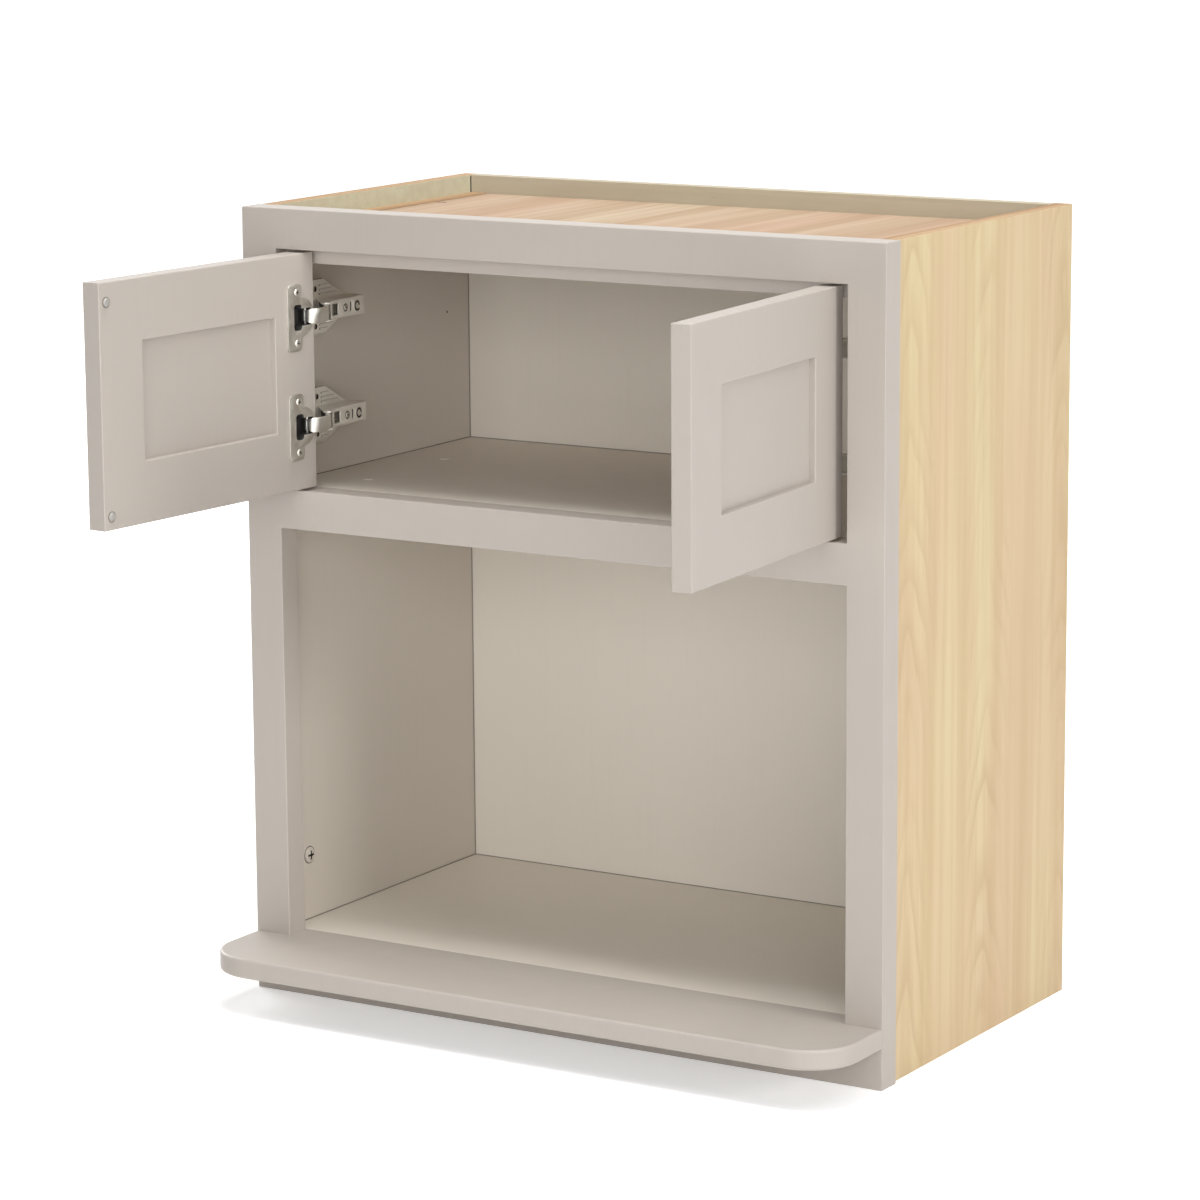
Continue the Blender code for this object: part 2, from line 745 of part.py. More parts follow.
def make_link(side, hand, level, link_pivot, nickel):
    """A strap with a rolled eye and a pin at each end."""
    name = f"{side}_{level}_hinge_link"
    place = (0.0, 0.0, HINGE_OFFSETS[level])
    link = make_object(name, make_strap(hand), nickel, link_pivot, place)
    cup_pin = shown_cup_pin()
    pin_from_cup_middle = CUP_FROM_EDGE - CUP_PIN_FROM_EDGE + CUP_PIN_RADIUS
    cup_pin_length = 2 * math.sqrt(CUP_RADIUS**2 - pin_from_cup_middle**2) - 2 * PIN_CLEARANCE
    arm_pin_length = 2 * ARM_OUTER_HALF - ARM_SIDE_GAP
    rounds = {
        "cup_eye": (cup_pin, CUP_EYE_RADIUS, LINK_CUP_WIDTH),
        "arm_eye": (Vector((0.0, 0.0)), ARM_EYE_RADIUS, LINK_ARM_WIDTH),
        "cup_pin": (cup_pin, CUP_PIN_RADIUS, cup_pin_length),
        "arm_pin": (Vector((0.0, 0.0)), ARM_PIN_RADIUS, arm_pin_length),
    }
    for part, (centre, radius, length) in rounds.items():
        bm = extrude_outline(disc(centre, radius, PIN_SIDES), -length / 2, length / 2, upright(hand))
        join(link, bm, f"{name}_{part}")


def arm_profile():
    """The arm's side view, across and back from the frame: an ear round the pin, a sloping
    shoulder, a long flat face and a foot on the wing plate."""
    ear = arc(ARM_PIN, ARM_EAR_RADIUS, 200.0, 380.0, CORNER_STEPS)
    tail = ARM_PIN.y + ARM_LENGTH
    face = ARM_BASE + ARM_FACE_HEIGHT
    return ear + [
        (face + ARM_SHOULDER_DROP, ARM_PIN.y + ARM_SHOULDER),
        (face, tail),
        (face - ARM_TAIL_DROP, tail),
        (ARM_BASE, ARM_PIN.y + ARM_FOOT_END),
        (ARM_BASE, ARM_PIN.y + ARM_FOOT_START),
    ]


def arm_hollow_profile():
    """What the fold of the arm's sheet leaves open, from the side."""
    tail = ARM_PIN.y + ARM_LENGTH - ARM_SHEET
    nose = ARM_PIN.y + ARM_EAR_RADIUS + ARM_SIDE_GAP
    face = ARM_BASE + ARM_FACE_HEIGHT - ARM_SHEET
    shoulder = face + ARM_SHOULDER_DROP
    ear_top = ARM_PIN.x + ARM_EAR_RADIUS
    below = ARM_BASE - ARM_EAR_RADIUS
    ahead = ARM_PIN.y - 2 * ARM_EAR_RADIUS
    slope = (ear_top - ARM_SHEET - shoulder) / (ARM_SHOULDER - ARM_EAR_RADIUS)
    return [
        (below, ahead),
        (ear_top + ARM_SHEET, ahead),
        (ear_top + ARM_SHEET, nose),
        (shoulder + slope * (ARM_PIN.y + ARM_SHOULDER - nose) - ARM_SHEET / 2, nose),
        (shoulder, ARM_PIN.y + ARM_SHOULDER),
        (face, tail),
        (below, tail),
    ]


def arm_openings():
    """What is cut through the arm's flat face, back from the frame and up from the middle: a
    window by the shoulder, the hole of the setting screw, a slot and the hole of the cam."""
    window_half = ARM_WINDOW_HEIGHT / 2
    slot_radius = ARM_SLOT_WIDTH / 2
    slot_rise = ARM_SLOT_HEIGHT / 2 - slot_radius
    slot_back = ARM_PIN.y + ARM_SLOT_BACK
    return {
        "window": rectangle(
            (ARM_PIN.y + ARM_WINDOW_START, -window_half), (ARM_PIN.y + ARM_WINDOW_END, window_half)
        ),
        "screw_hole": disc((ARM_PIN.y + ARM_SCREW_BACK, 0.0), ARM_SCREW_HOLE_RADIUS, PIN_SIDES),
        "slot": arc((slot_back, slot_rise), slot_radius, 0.0, 180.0, CORNER_STEPS)
        + arc((slot_back, -slot_rise), slot_radius, 180.0, 360.0, CORNER_STEPS),
        "cam_hole": disc((ARM_PIN.y + ARM_CAM_BACK, 0.0), ARM_CAM_HOLE_RADIUS, PIN_SIDES),
    }


def make_arm(side, hand, level, frame_edge, nickel):
    """The folded channel that holds the link's pin between its two ears."""
    name = f"{side}_{level}_hinge_arm"
    place = (0.0, 0.0, HINGE_OFFSETS[level])
    bm = extrude_outline(arm_profile(), -ARM_OUTER_HALF, ARM_OUTER_HALF, upright(hand))
    arm = make_object(name, bm, nickel, frame_edge, place)
    hollow = extrude_outline(arm_hollow_profile(), -ARM_INNER_HALF, ARM_INNER_HALF, upright(hand))
    cut(arm, hollow, f"{name}_hollow")
    pin_hole = extrude_outline(
        disc(ARM_PIN, ARM_PIN_RADIUS + PIN_CLEARANCE, PIN_SIDES),
        -2 * ARM_OUTER_HALF,
        2 * ARM_OUTER_HALF,
        upright(hand),
    )
    cut(arm, pin_hole, f"{name}_pin_hole")
    face = ARM_BASE + ARM_FACE_HEIGHT
    for part, outline in arm_openings().items():
        opening = extrude_outline(
            outline, face - 2 * ARM_SHEET, ARM_PIN.x + ARM_EAR_RADIUS, sideways(hand)
        )
        cut(arm, opening, f"{name}_{part}")


def wing_edge(height):
    """How far behind its foot the wing plate reaches at a height from its middle."""
    drop = WING_HEIGHT / 2 - height
    slope = (WING_LENGTH - WING_STRAIGHT) / (WING_HEIGHT - WING_TIP_HEIGHT) * 2
    return WING_STRAIGHT + drop * slope


def make_wing_plate(side, hand, level, frame_edge, nickel):
    """A bent plate: its foot lies on the back of the frame stile, and its ribbed wings run back
    from there and carry the arm on a pedestal."""
    name = f"{side}_{level}_hinge_plate"
    place = (0.0, 0.0, HINGE_OFFSETS[level])
    half = WING_HEIGHT / 2
    tip_half = WING_TIP_HEIGHT / 2
    outline = [
        (PLATE_FRONT, -half),
        (PLATE_FRONT + WING_STRAIGHT, -half),
        (PLATE_FRONT + WING_LENGTH, -tip_half),
        (PLATE_FRONT + WING_LENGTH, tip_half),
        (PLATE_FRONT + WING_STRAIGHT, half),
        (PLATE_FRONT, half),
    ]
    bm = extrude_outline(outline, SEAT_GAP, PLATE_FACE, sideways(hand))
    plate = make_object(name, bm, nickel, frame_edge, place)
    foot = extrude_outline(
        rectangle((PLATE_FRONT, -half), (PLATE_FRONT + PLATE_SHEET, half)),
        -PLATE_FOOT_REACH,
        SEAT_GAP + PLATE_SHEET / 2,
        sideways(hand),
    )
    join(plate, foot, f"{name}_foot")
    pedestal = extrude_outline(
        rectangle(
            (PLATE_FRONT + PEDESTAL_START, ARM_SIDE_GAP - ARM_INNER_HALF),
            (PLATE_FRONT + PEDESTAL_END, ARM_INNER_HALF - ARM_SIDE_GAP),
        ),
        PLATE_FACE - PLATE_SHEET / 2,
        PLATE_FACE + PEDESTAL_HEIGHT,
        sideways(hand),
    )
    join(plate, pedestal, f"{name}_pedestal")
    for end in (-1, 1):
        word = "lower" if end < 0 else "upper"
        hole = extrude_outline(
            disc(
                (PLATE_FRONT + WING_HOLE_FROM_FOOT, end * WING_HOLE_SPACING / 2),
                WING_HOLE_RADIUS,
                PIN_SIDES,
            ),
            SEAT_GAP - PLATE_SHEET,
            PLATE_FACE + PLATE_SHEET,
            sideways(hand),
        )
        cut(plate, hole, f"{name}_{word}_hole")
        for i in range(RIB_COUNT):
            height = RIB_FIRST + i * RIB_STEP
            reach = PLATE_FRONT + wing_edge(height + RIB_WIDTH / 2) - RIB_END_MARGIN
            heights = sorted((end * (height - RIB_WIDTH / 2), end * (height + RIB_WIDTH / 2)))
            rib = extrude_outline(
                rectangle((PLATE_FRONT + RIB_START, heights[0]), (reach, heights[1])),
                PLATE_FACE - PLATE_SHEET / 2,
                PLATE_FACE + RIB_RISE,
                sideways(hand),
            )
            join(plate, rib, f"{name}_{word}_rib_{i}")


def make_door(side, hand, cabinet, finishes):
    """One door with its cups, links, arms and plates, open as shown."""
    stile_edge = Vector((-hand * HALF_OPENING, FRONT, DOOR_MIDDLE))
    frame_edge = make_empty(f"{side}_hinge_line", cabinet, stile_edge)
    arm_place = stile_edge + Vector((hand * ARM_PIN.x, ARM_PIN.y, 0.0))
    link_pivot = make_empty(f"{side}_link_pivot", cabinet, arm_place)
    cup_pin = shown_cup_pin()
    cup_place = arm_place + Vector((hand * cup_pin.x, cup_pin.y, 0.0))
    door = make_empty(
        f"{side}_door_pivot", cabinet, cup_place, turn=-hand * math.radians(DOOR_SHOWN_OPEN)
    )

    hinge_stile = make_door_frame(side, hand, door, finishes["paint"])
    make_bumpers(side, hand, door, finishes["bumper"])
    for level in HINGE_OFFSETS:
        make_cup(side, hand, level, door, hinge_stile, finishes["nickel"])
        make_link(side, hand, level, link_pivot, finishes["nickel"])
        make_arm(side, hand, level, frame_edge, finishes["nickel"])
        make_wing_plate(side, hand, level, frame_edge, finishes["nickel"])
    return link_pivot, door


def print_joint(side, link_pivot, door):
    """Print where one door's two joints are and how far they turn from the pose shown."""
    bpy.context.view_layer.update()
    share = LINK_TURN_SHOWN / DOOR_SHOWN_OPEN
    shut = DOOR_SHOWN_OPEN + LINK_TURN_SHOWN
    wider = (DOOR_LIMIT - DOOR_SHOWN_OPEN) * (1.0 + share)
    print(side, "link pivot", [round(v, 6) for v in link_pivot.matrix_world.translation])
    print(side, "door pivot", [round(v, 6) for v in door.matrix_world.translation])
    print(side, "door turns on its link", round(-shut, 3), round(wider, 3))
    print(side, "link turns", round(-wider * LINK_TURN_SHOWN / shut, 4), round(LINK_TURN_SHOWN, 4))
    print(side, "link for each door degree", round(-LINK_TURN_SHOWN / shut, 6))


def main():
    """Model the cabinet and say where its joints are."""
    clear_scene()
    finishes = make_materials()
    cabinet = make_empty("cabinet", None, (0.0, 0.0, -HANGING_HEIGHT))
    make_face_frame(cabinet, finishes["paint"])
    make_door_stop(cabinet, finishes["paint"])
    make_level_panels(cabinet, finishes)
    make_back(cabinet, finishes["paint"])
    make_sides(cabinet, finishes["maple"])
    make_ledge(cabinet, finishes["paint"])
    for side, hand in INWARD.items():
        link_pivot, door = make_door(side, hand, cabinet, finishes)
        print_joint(side, link_pivot, door)


if __name__ == "__main__":
    main()
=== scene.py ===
"""Looks of the microwave wall cabinet.

Eased and painted boards, grained veneer, plated hinges with their screws, and a plain studio, all in
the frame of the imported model: metres, X to the right, Y towards the wall, Z up.
"""

from __future__ import annotations

import json
import logging
import math
from dataclasses import dataclass, field
from enum import Enum
from typing import Callable, Sequence

import bmesh
import bpy
from mathutils import Matrix, Vector

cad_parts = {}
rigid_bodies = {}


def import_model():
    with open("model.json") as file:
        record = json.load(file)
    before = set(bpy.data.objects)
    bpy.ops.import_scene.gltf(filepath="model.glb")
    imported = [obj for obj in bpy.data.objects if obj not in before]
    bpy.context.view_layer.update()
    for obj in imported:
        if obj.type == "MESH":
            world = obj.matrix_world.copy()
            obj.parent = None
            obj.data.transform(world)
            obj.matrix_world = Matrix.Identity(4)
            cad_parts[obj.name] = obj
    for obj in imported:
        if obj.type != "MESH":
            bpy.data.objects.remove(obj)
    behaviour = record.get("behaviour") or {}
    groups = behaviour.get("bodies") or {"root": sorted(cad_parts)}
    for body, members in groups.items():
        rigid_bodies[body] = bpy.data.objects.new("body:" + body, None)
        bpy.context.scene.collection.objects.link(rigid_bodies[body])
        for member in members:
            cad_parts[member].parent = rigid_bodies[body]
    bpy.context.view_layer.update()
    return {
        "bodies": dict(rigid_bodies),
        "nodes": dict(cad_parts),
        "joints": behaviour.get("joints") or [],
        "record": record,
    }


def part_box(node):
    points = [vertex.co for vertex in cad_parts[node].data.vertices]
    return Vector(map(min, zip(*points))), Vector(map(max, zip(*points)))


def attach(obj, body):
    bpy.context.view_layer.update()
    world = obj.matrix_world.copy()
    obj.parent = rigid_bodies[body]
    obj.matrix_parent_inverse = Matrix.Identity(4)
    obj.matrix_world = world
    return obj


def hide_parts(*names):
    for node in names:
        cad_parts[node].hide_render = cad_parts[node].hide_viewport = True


LOG = logging.getLogger("microwave_wall_cabinet")

# Lumps are how many for each metre across the grain, and how many times longer than wide they are.
# Relief is a bump's strength, and its depth in metres.
Colour = tuple[float, float, float, float]
Lumps = tuple[float, float]
Profile = Sequence[tuple[float, float]]
Range = tuple[float, float]
Relief = tuple[float, float]
Socket = bpy.types.NodeSocket

CABINET_BODY = "cabinet"
WHITE: Colour = (1.0, 1.0, 1.0, 1.0)
SAME_PLACE = 0.0001
MERGE_DISTANCE = 0.000002
FLAT_ANGLE = 1.0
SHEET_EDGE_ANGLE = 32.0
TURNED_EDGE_ANGLE = 40.0


class Side(Enum):
    """The two doors, by the frame stile that carries them."""

    LEFT = "left"
    RIGHT = "right"

    @property
    def hand(self) -> int:
        """+1 where the opening lies to +X of the stile, -1 where it lies to -X."""
        return 1 if self is Side.LEFT else -1


class Level(Enum):
    """The two hinges of a door."""

    UPPER = "upper"
    LOWER = "lower"

    @property
    def sign(self) -> int:
        """+1 above the door's middle, -1 below it."""
        return 1 if self is Level.UPPER else -1


class Slot(Enum):
    """The record's material slots."""

    PAINT = "greige_paint"
    MAPLE = "maple_veneer"
    PLYWOOD = "raw_plywood"
    NICKEL = "nickel"
    PAD = "bumper"


class Grain(Enum):
    """The way that wood grain runs, with the axis across it on the face that shows."""

    ALONG_X = ("X", "Z")
    ALONG_Y = ("Y", "X")
    ALONG_Z = ("Z", "Y")

    @property
    def along(self) -> str:
        """The axis along the grain."""
        return self.value[0]

    @property
    def across(self) -> str:
        """The axis across the grain."""
        return self.value[1]

    def drawn_out(self, per_metre: float, length: float) -> list[float]:
        """Texture scale on each axis for lumps that are longer along the grain.

        Args:
            per_metre: Lumps for each metre across the grain.
            length: How many times longer than wide they are.

        Returns:
            The scale along X, Y and Z.
        """
        return [per_metre / length if axis == self.along else per_metre for axis in "XYZ"]


def srgb(red: int, green: int, blue: int) -> Colour:
    """A colour from its 8-bit screen values.

    Args:
        red: Red, 0 to 255.
        green: Green, 0 to 255.
        blue: Blue, 0 to 255.

    Returns:
        The linear colour with full alpha.
    """
    linear = []
    for value in (red, green, blue):
        share = value / 255.0
        linear.append(share / 12.92 if share <= 0.04045 else ((share + 0.055) / 1.055) ** 2.4)
    return (linear[0], linear[1], linear[2], 1.0)


def tinted(colour: Colour, factor: float) -> Colour:
    """The same colour, lighter or darker by a factor."""
    return (colour[0] * factor, colour[1] * factor, colour[2] * factor, colour[3])


class Shader:
    """A material under construction, with short calls for the nodes that the finishes share."""

    def __init__(self, name: str) -> None:
        """Start a material.

        Args:
            name: The material's name.
        """
        self.material = bpy.data.materials.new(name)
        self.material.use_nodes = True
        self.tree = self.material.node_tree
        self.surface = self.tree.nodes["Principled BSDF"]
        self.place = self.tree.nodes.new("ShaderNodeTexCoord").outputs["Object"]

    def node(self, kind: str, inputs: dict[str | int, object], **settings: object) -> bpy.types.Node:
        """Add a node.

        Args:
            kind: The node's type.
            inputs: Input name or index to a socket to link or a value to set.
            settings: Properties of the node.

        Returns:
            The node.
        """
        node = self.tree.nodes.new(kind)
        for name, value in settings.items():
            setattr(node, name, value)
        for key, value in inputs.items():
            self.feed(node.inputs[key], value)
        return node

    def feed(self, socket: Socket, value: object) -> None:
        """Link a socket, or set its value.

        Args:
            socket: The socket.
            value: A socket to link it to, or the value.
        """
        if isinstance(value, bpy.types.NodeSocket):
            self.tree.links.new(value, socket)
        else:
            socket.default_value = value

    def stretched(self, scale: Sequence[float]) -> Socket:
        """Object coordinates, scaled along each axis."""
        inputs = {"Vector": self.place, "Scale": tuple(scale)}
        return self.node("ShaderNodeMapping", inputs).outputs["Vector"]

    def noise(self, vector: Socket, scale: float, detail: float = 2.0, distortion: float = 0.0) -> Socket:
        """Noise from 0 to 1.

        Args:
            vector: Where to look it up.
            scale: Lumps for each metre.
            detail: Octaves of finer lumps.
            distortion: How far the lookup is swirled.

        Returns:
            The noise value.
        """
        inputs = {"Vector": vector, "Scale": scale, "Detail": detail, "Distortion": distortion}
        return self.node("ShaderNodeTexNoise", inputs).outputs[0]

    def grained(self, grain: Grain, lumps: Lumps, detail: float, distortion: float = 0.0) -> Socket:
        """Noise in lumps that are drawn out along a wood's grain.

        Args:
            grain: The way that the grain runs.
            lumps: Lumps for each metre across the grain, and how many times longer than wide they are.
            detail: Octaves of finer lumps.
            distortion: How far the lookup is swirled.

        Returns:
            The noise value.
        """
        return self.noise(self.stretched(grain.drawn_out(*lumps)), 1.0, detail, distortion)

    def spread(self, value: Socket, low: float, high: float, to_low: float, to_high: float) -> Socket:
        """A value moved from one range to another and held there."""
        inputs = {"Value": value, "From Min": low, "From Max": high, "To Min": to_low, "To Max": to_high}
        return self.node("ShaderNodeMapRange", inputs, clamp=True).outputs["Result"]

    def uneven(self, value: Socket, between: Range, middle: float, change: Range) -> Socket:
        """A level that a noise value moves below and above its middle.

        Args:
            value: The noise value.
            between: The range of the noise that moves the level.
            middle: The level's middle.
            change: How far from it the level is at the range's two ends.

        Returns:
            The level.
        """
        return self.spread(value, *between, middle + change[0], middle + change[1])

    def waves(self, vector: Socket, across: str, scale: float, distortion: float) -> Socket:
        """Wandering bands from 0 to 1.

        Args:
            vector: Where to look them up.
            across: The axis that the bands are counted along.
            scale: Bands for each 0.314 m.
            distortion: How far they wander.

        Returns:
            The band value.
        """
        inputs = {
            "Vector": vector,
            "Scale": scale,
            "Distortion": distortion,
            "Detail": 3.0,
            "Detail Scale": 1.3,
            "Detail Roughness": 0.55,
        }
        return self.node("ShaderNodeTexWave", inputs, bands_direction=across).outputs[0]

    def math(self, operation: str, first: Socket | float, second: Socket | float = 0.0) -> Socket:
        """The result of a sum on one or two values."""
        return self.node("ShaderNodeMath", {0: first, 1: second}, operation=operation).outputs["Value"]

    def axis(self, name: str) -> Socket:
        """One of the object coordinates."""
        return self.node("ShaderNodeSeparateXYZ", {"Vector": self.place}).outputs[name]

    def blend(self, share: Socket | float, first: object, second: object) -> Socket:
        """A colour between two, by a share from 0 to 1."""
        return self.node("ShaderNodeMix", {0: share, 6: first, 7: second}, data_type="RGBA").outputs[2]

    def shaded(self, value: Socket, colour: Colour, tints: Range) -> Socket:
        """A colour that a noise value makes darker and lighter."""
        return self.blend(value, tinted(colour, tints[0]), tinted(colour, tints[1]))

    def layer(self, value: Socket, between: Range, share: float, below: object, above: Colour) -> Socket:
        """A colour that covers another where a noise value is high.

        Args:
            value: The noise value.
            between: The range of the noise over which the cover comes up.
            share: How much it covers at most.
            below: The colour below.
            above: The colour that covers it.

        Returns:
            The colour.
        """
        return self.blend(self.spread(value, *between, 0.0, share), below, above)

    def relief(self, *layers: tuple[Socket, float, float]) -> None:
        """Raise the surface by heights.

        Args:
            layers: Height, strength and depth in metres of each layer, coarse to fine.
        """
        normal = None
        for height, strength, depth in layers:
            bump = self.node("ShaderNodeBump", {"Height": height, "Strength": strength, "Distance": depth})
            if normal is not None:
                self.tree.links.new(normal, bump.inputs["Normal"])
            normal = bump.outputs["Normal"]
        self.tree.links.new(normal, self.surface.inputs["Normal"])

    def dress(self, **sockets: object) -> None:
        """Feed the surface's own sockets, named with underscores for spaces."""
        for name, value in sockets.items():
            self.feed(self.surface.inputs[name.replace("_", " ")], value)


@dataclass(frozen=True)
class SatinPaint:
    """Sprayed satin paint on close-grained wood: slow drift of tone, faint fibres, orange peel."""

    name: str
    colour: Colour
    roughness: float = 0.40
    roughness_change: Range = (-0.04, 0.06)
    shine: float = 0.28
    tints: Range = (0.975, 1.025)
    tint_scale: float = 2.2
    patch_scale: float = 26.0
    patch_range: Range = (0.25, 0.75)
    fibre_scale: tuple[float, float, float] = (240.0, 240.0, 8.0)
    fibre_range: Range = (0.55, 0.85)
    fibre_share: float = 0.30
    fibre_tint: float = 0.93
    fibre_relief: Relief = (0.05, 0.0002)
    peel_scale: float = 950.0
    peel_relief: Relief = (0.05, 0.0001)

    def make(self) -> bpy.types.Material:
        """Build the paint's material.

        Returns:
            The material.
        """
        shader = Shader(self.name)
        drift = shader.noise(shader.place, self.tint_scale, detail=3.0)
        fibre = shader.noise(shader.stretched(self.fibre_scale), 1.0, detail=3.0)
        peel = shader.noise(shader.place, self.peel_scale, detail=1.0)
        patch = shader.noise(shader.place, self.patch_scale, detail=2.0)
        tone = shader.shaded(drift, self.colour, self.tints)
        streak = tinted(self.colour, self.fibre_tint)
        shader.dress(
            Base_Color=shader.layer(fibre, self.fibre_range, self.fibre_share, tone, streak),
            Roughness=shader.uneven(patch, self.patch_range, self.roughness, self.roughness_change),
            Specular_IOR_Level=self.shine,
        )
        shader.relief((fibre, *self.fibre_relief), (peel, *self.peel_relief))
        return shader.material


@dataclass(frozen=True)
class Flames:
    """Pointed arches that repeat along a wood's grain, where the saw met the growth rings flat.

    The arches stand on axes that are two half spacings apart, and bow the more the further they get
    from their axis. Each has a crisp edge on one side and fades on the other.
    """

    axis_offset: float
    half_spacing: float
    pitch: float
    strength: float = 0.55
    bow: float = 680.0
    sharpness: float = 1.3
    reach: Range = (0.01375, 0.055)
    wander: float = 20.0
    wander_lumps: Lumps = (14.0, 2.6)
    patch_lumps: Lumps = (9.0, 2.5)
    patch_range: Range = (0.40, 0.60)
    patch_shares: Range = (0.15, 1.0)
    fade_end: float = 0.50
    rise_start: float = 0.86

    def share(self, shader: Shader, grain: Grain) -> Socket:
        """How dark the arches are at each place, from 0 to 1.

        Args:
            shader: The material under construction.
            grain: The way that the grain runs.

        Returns:
            The share.
        """
        shifted = shader.math("ADD", shader.axis(grain.across), self.axis_offset)
        from_axis = shader.math("PINGPONG", shifted, self.half_spacing)
        drift = shader.grained(grain, self.wander_lumps, detail=2.0)
        along = shader.math("MULTIPLY", shader.axis(grain.along), math.tau / self.pitch)
        bow = shader.math("MULTIPLY", shader.math("POWER", from_axis, self.sharpness), self.bow)
        swing = shader.math("MULTIPLY", drift, self.wander)
        phase = shader.math("ADD", shader.math("ADD", along, bow), swing)
        turn = shader.math("FRACT", shader.math("DIVIDE", phase, math.tau))
        fading = shader.spread(turn, 0.0, self.fade_end, 1.0, 0.0)
        rising = shader.spread(turn, self.rise_start, 1.0, 0.0, 1.0)
        arch = shader.math("MAXIMUM", fading, rising)
        near = shader.spread(from_axis, *self.reach, 1.0, 0.0)
        patch = shader.grained(grain, self.patch_lumps, detail=1.0)
        here = shader.spread(patch, *self.patch_range, *self.patch_shares)
        share = shader.math("MULTIPLY", shader.math("MULTIPLY", arch, near), here)
        return shader.math("MULTIPLY", share, self.strength)


@dataclass(frozen=True)
class Timber:
    """Bare or clear-finished wood: figure bands, streaks, a blush, flames and short dark pores."""

    name: str
    pale: Colour
    dark: Colour
    blush: Colour
    grain: Grain
    bands: float = 7.0
    wander: float = 7.0
    figure: float = 0.55
    figure_lumps: Lumps = (1.0, 14.0)
    figure_range: Range = (0.45, 1.0)
    streaks: float = 0.55
    streak_lumps: Lumps = (95.0, 40.0)
    streak_swirl: float = 0.3
    streak_range: Range = (0.42, 0.72)
    streak_relief: Relief = (0.06, 0.0002)
    blushing: float = 0.9
    blush_lumps: Lumps = (13.0, 7.0)
    blush_range: Range = (0.36, 0.64)
    lines: float = 0.25
    line_lumps: Lumps = (420.0, 60.0)
    line_range: Range = (0.50, 0.80)
    pores: float = 0.20
    pore_lumps: Lumps = (900.0, 20.0)
    pore_range: Range = (0.64, 0.78)
    pore_tint: float = 0.78
    pore_relief: Relief = (0.08, 0.0001)
    flames: Flames | None = None
    flame_tint: float = 0.95
    roughness: float = 0.55
    roughness_range: Range = (0.3, 0.7)
    roughness_change: Range = (-0.05, 0.08)
    shine: float = 0.15

    def make(self) -> bpy.types.Material:
        """Build the wood's material.

        Returns:
            The material.
        """
        shader = Shader(self.name)
        grain = self.grain
        lengthened = shader.stretched(grain.drawn_out(*self.figure_lumps))
        figure = shader.waves(lengthened, grain.across, self.bands, self.wander)
        streak = shader.grained(grain, self.streak_lumps, detail=5.0, distortion=self.streak_swirl)
        line = shader.grained(grain, self.line_lumps, detail=2.0)
        pore = shader.grained(grain, self.pore_lumps, detail=1.0)
        patch = shader.grained(grain, self.blush_lumps, detail=2.0)
        tone = shader.layer(patch, self.blush_range, self.blushing, self.pale, self.blush)
        tone = shader.layer(figure, self.figure_range, self.figure, tone, self.dark)
        tone = shader.layer(streak, self.streak_range, self.streaks, tone, self.dark)
        tone = shader.layer(line, self.line_range, self.lines, tone, self.dark)
        if self.flames is not None:
            flame = self.flames.share(shader, grain)
            tone = shader.blend(flame, tone, tinted(self.dark, self.flame_tint))
        tone = shader.layer(pore, self.pore_range, self.pores, tone, tinted(self.dark, self.pore_tint))
        shader.dress(
            Base_Color=tone,
            Roughness=shader.uneven(streak, self.roughness_range, self.roughness, self.roughness_change),
            Specular_IOR_Level=self.shine,
        )
        shader.relief((streak, *self.streak_relief), (pore, *self.pore_relief))
        return shader.material


@dataclass(frozen=True)
class PlatedMetal:
    """Nickel plate over pressed sheet, cloudy and finely rubbed."""

    name: str
    colour: Colour
    roughness: float = 0.46
    roughness_change: Range = (-0.06, 0.08)
    metallic: float = 1.0
    tints: Range = (0.94, 1.05)
    cloud_scale: float = 160.0
    cloud_range: Range = (0.3, 0.7)
    rub_scale: tuple[float, float, float] = (3200.0, 3200.0, 200.0)
    rub_relief: Relief = (0.02, 0.00001)

    def make(self) -> bpy.types.Material:
        """Build the plating's material.

        Returns:
            The material.
        """
        shader = Shader(self.name)
        cloud = shader.noise(shader.place, self.cloud_scale, detail=3.0)
        rub = shader.noise(shader.stretched(self.rub_scale), 1.0, detail=2.0)
        shader.dress(
            Base_Color=shader.shaded(cloud, self.colour, self.tints),
            Metallic=self.metallic,
            Roughness=shader.uneven(cloud, self.cloud_range, self.roughness, self.roughness_change),
        )
        shader.relief((rub, *self.rub_relief))
        return shader.material


@dataclass(frozen=True)
class SoftPad:
    """A clear soft pad, a little milky."""

    name: str
    colour: Colour
    roughness: float = 0.19
    roughness_change: Range = (-0.05, 0.05)
    tints: Range = (0.92, 1.05)
    cloud_scale: float = 420.0
    cloud_range: Range = (0.3, 0.7)
    refraction: float = 1.46
    clearness: float = 0.35

    def make(self) -> bpy.types.Material:
        """Build the pad's material.

        Returns:
            The material.
        """
        shader = Shader(self.name)
        cloud = shader.noise(shader.place, self.cloud_scale, detail=2.0)
        shader.dress(
            Base_Color=shader.shaded(cloud, self.colour, self.tints),
            Roughness=shader.uneven(cloud, self.cloud_range, self.roughness, self.roughness_change),
            IOR=self.refraction,
            Transmission_Weight=self.clearness,
        )
        return shader.material


@dataclass(frozen=True)
class PaintedShade:
    """Painted shade: the colour of shadowed metal or wood down in a hole, a groove, a joint or a corner, put
    on faces and thin sheets where there is only shade.
    """

    name: str
    colour: Colour
    roughness: float = 0.6
    roughness_change: Range = (-0.08, 0.08)
    tints: Range = (0.7, 1.3)
    cloud_scale: float = 700.0
    cloud_range: Range = (0.3, 0.7)

    def make(self) -> bpy.types.Material:
        """Build the painted shade's material.

        Returns:
            The material.
        """
        shader = Shader(self.name)
        cloud = shader.noise(shader.place, self.cloud_scale, detail=2.0)
        shader.dress(
            Base_Color=shader.shaded(cloud, self.colour, self.tints),
            Roughness=shader.uneven(cloud, self.cloud_range, self.roughness, self.roughness_change),
        )
        return shader.material


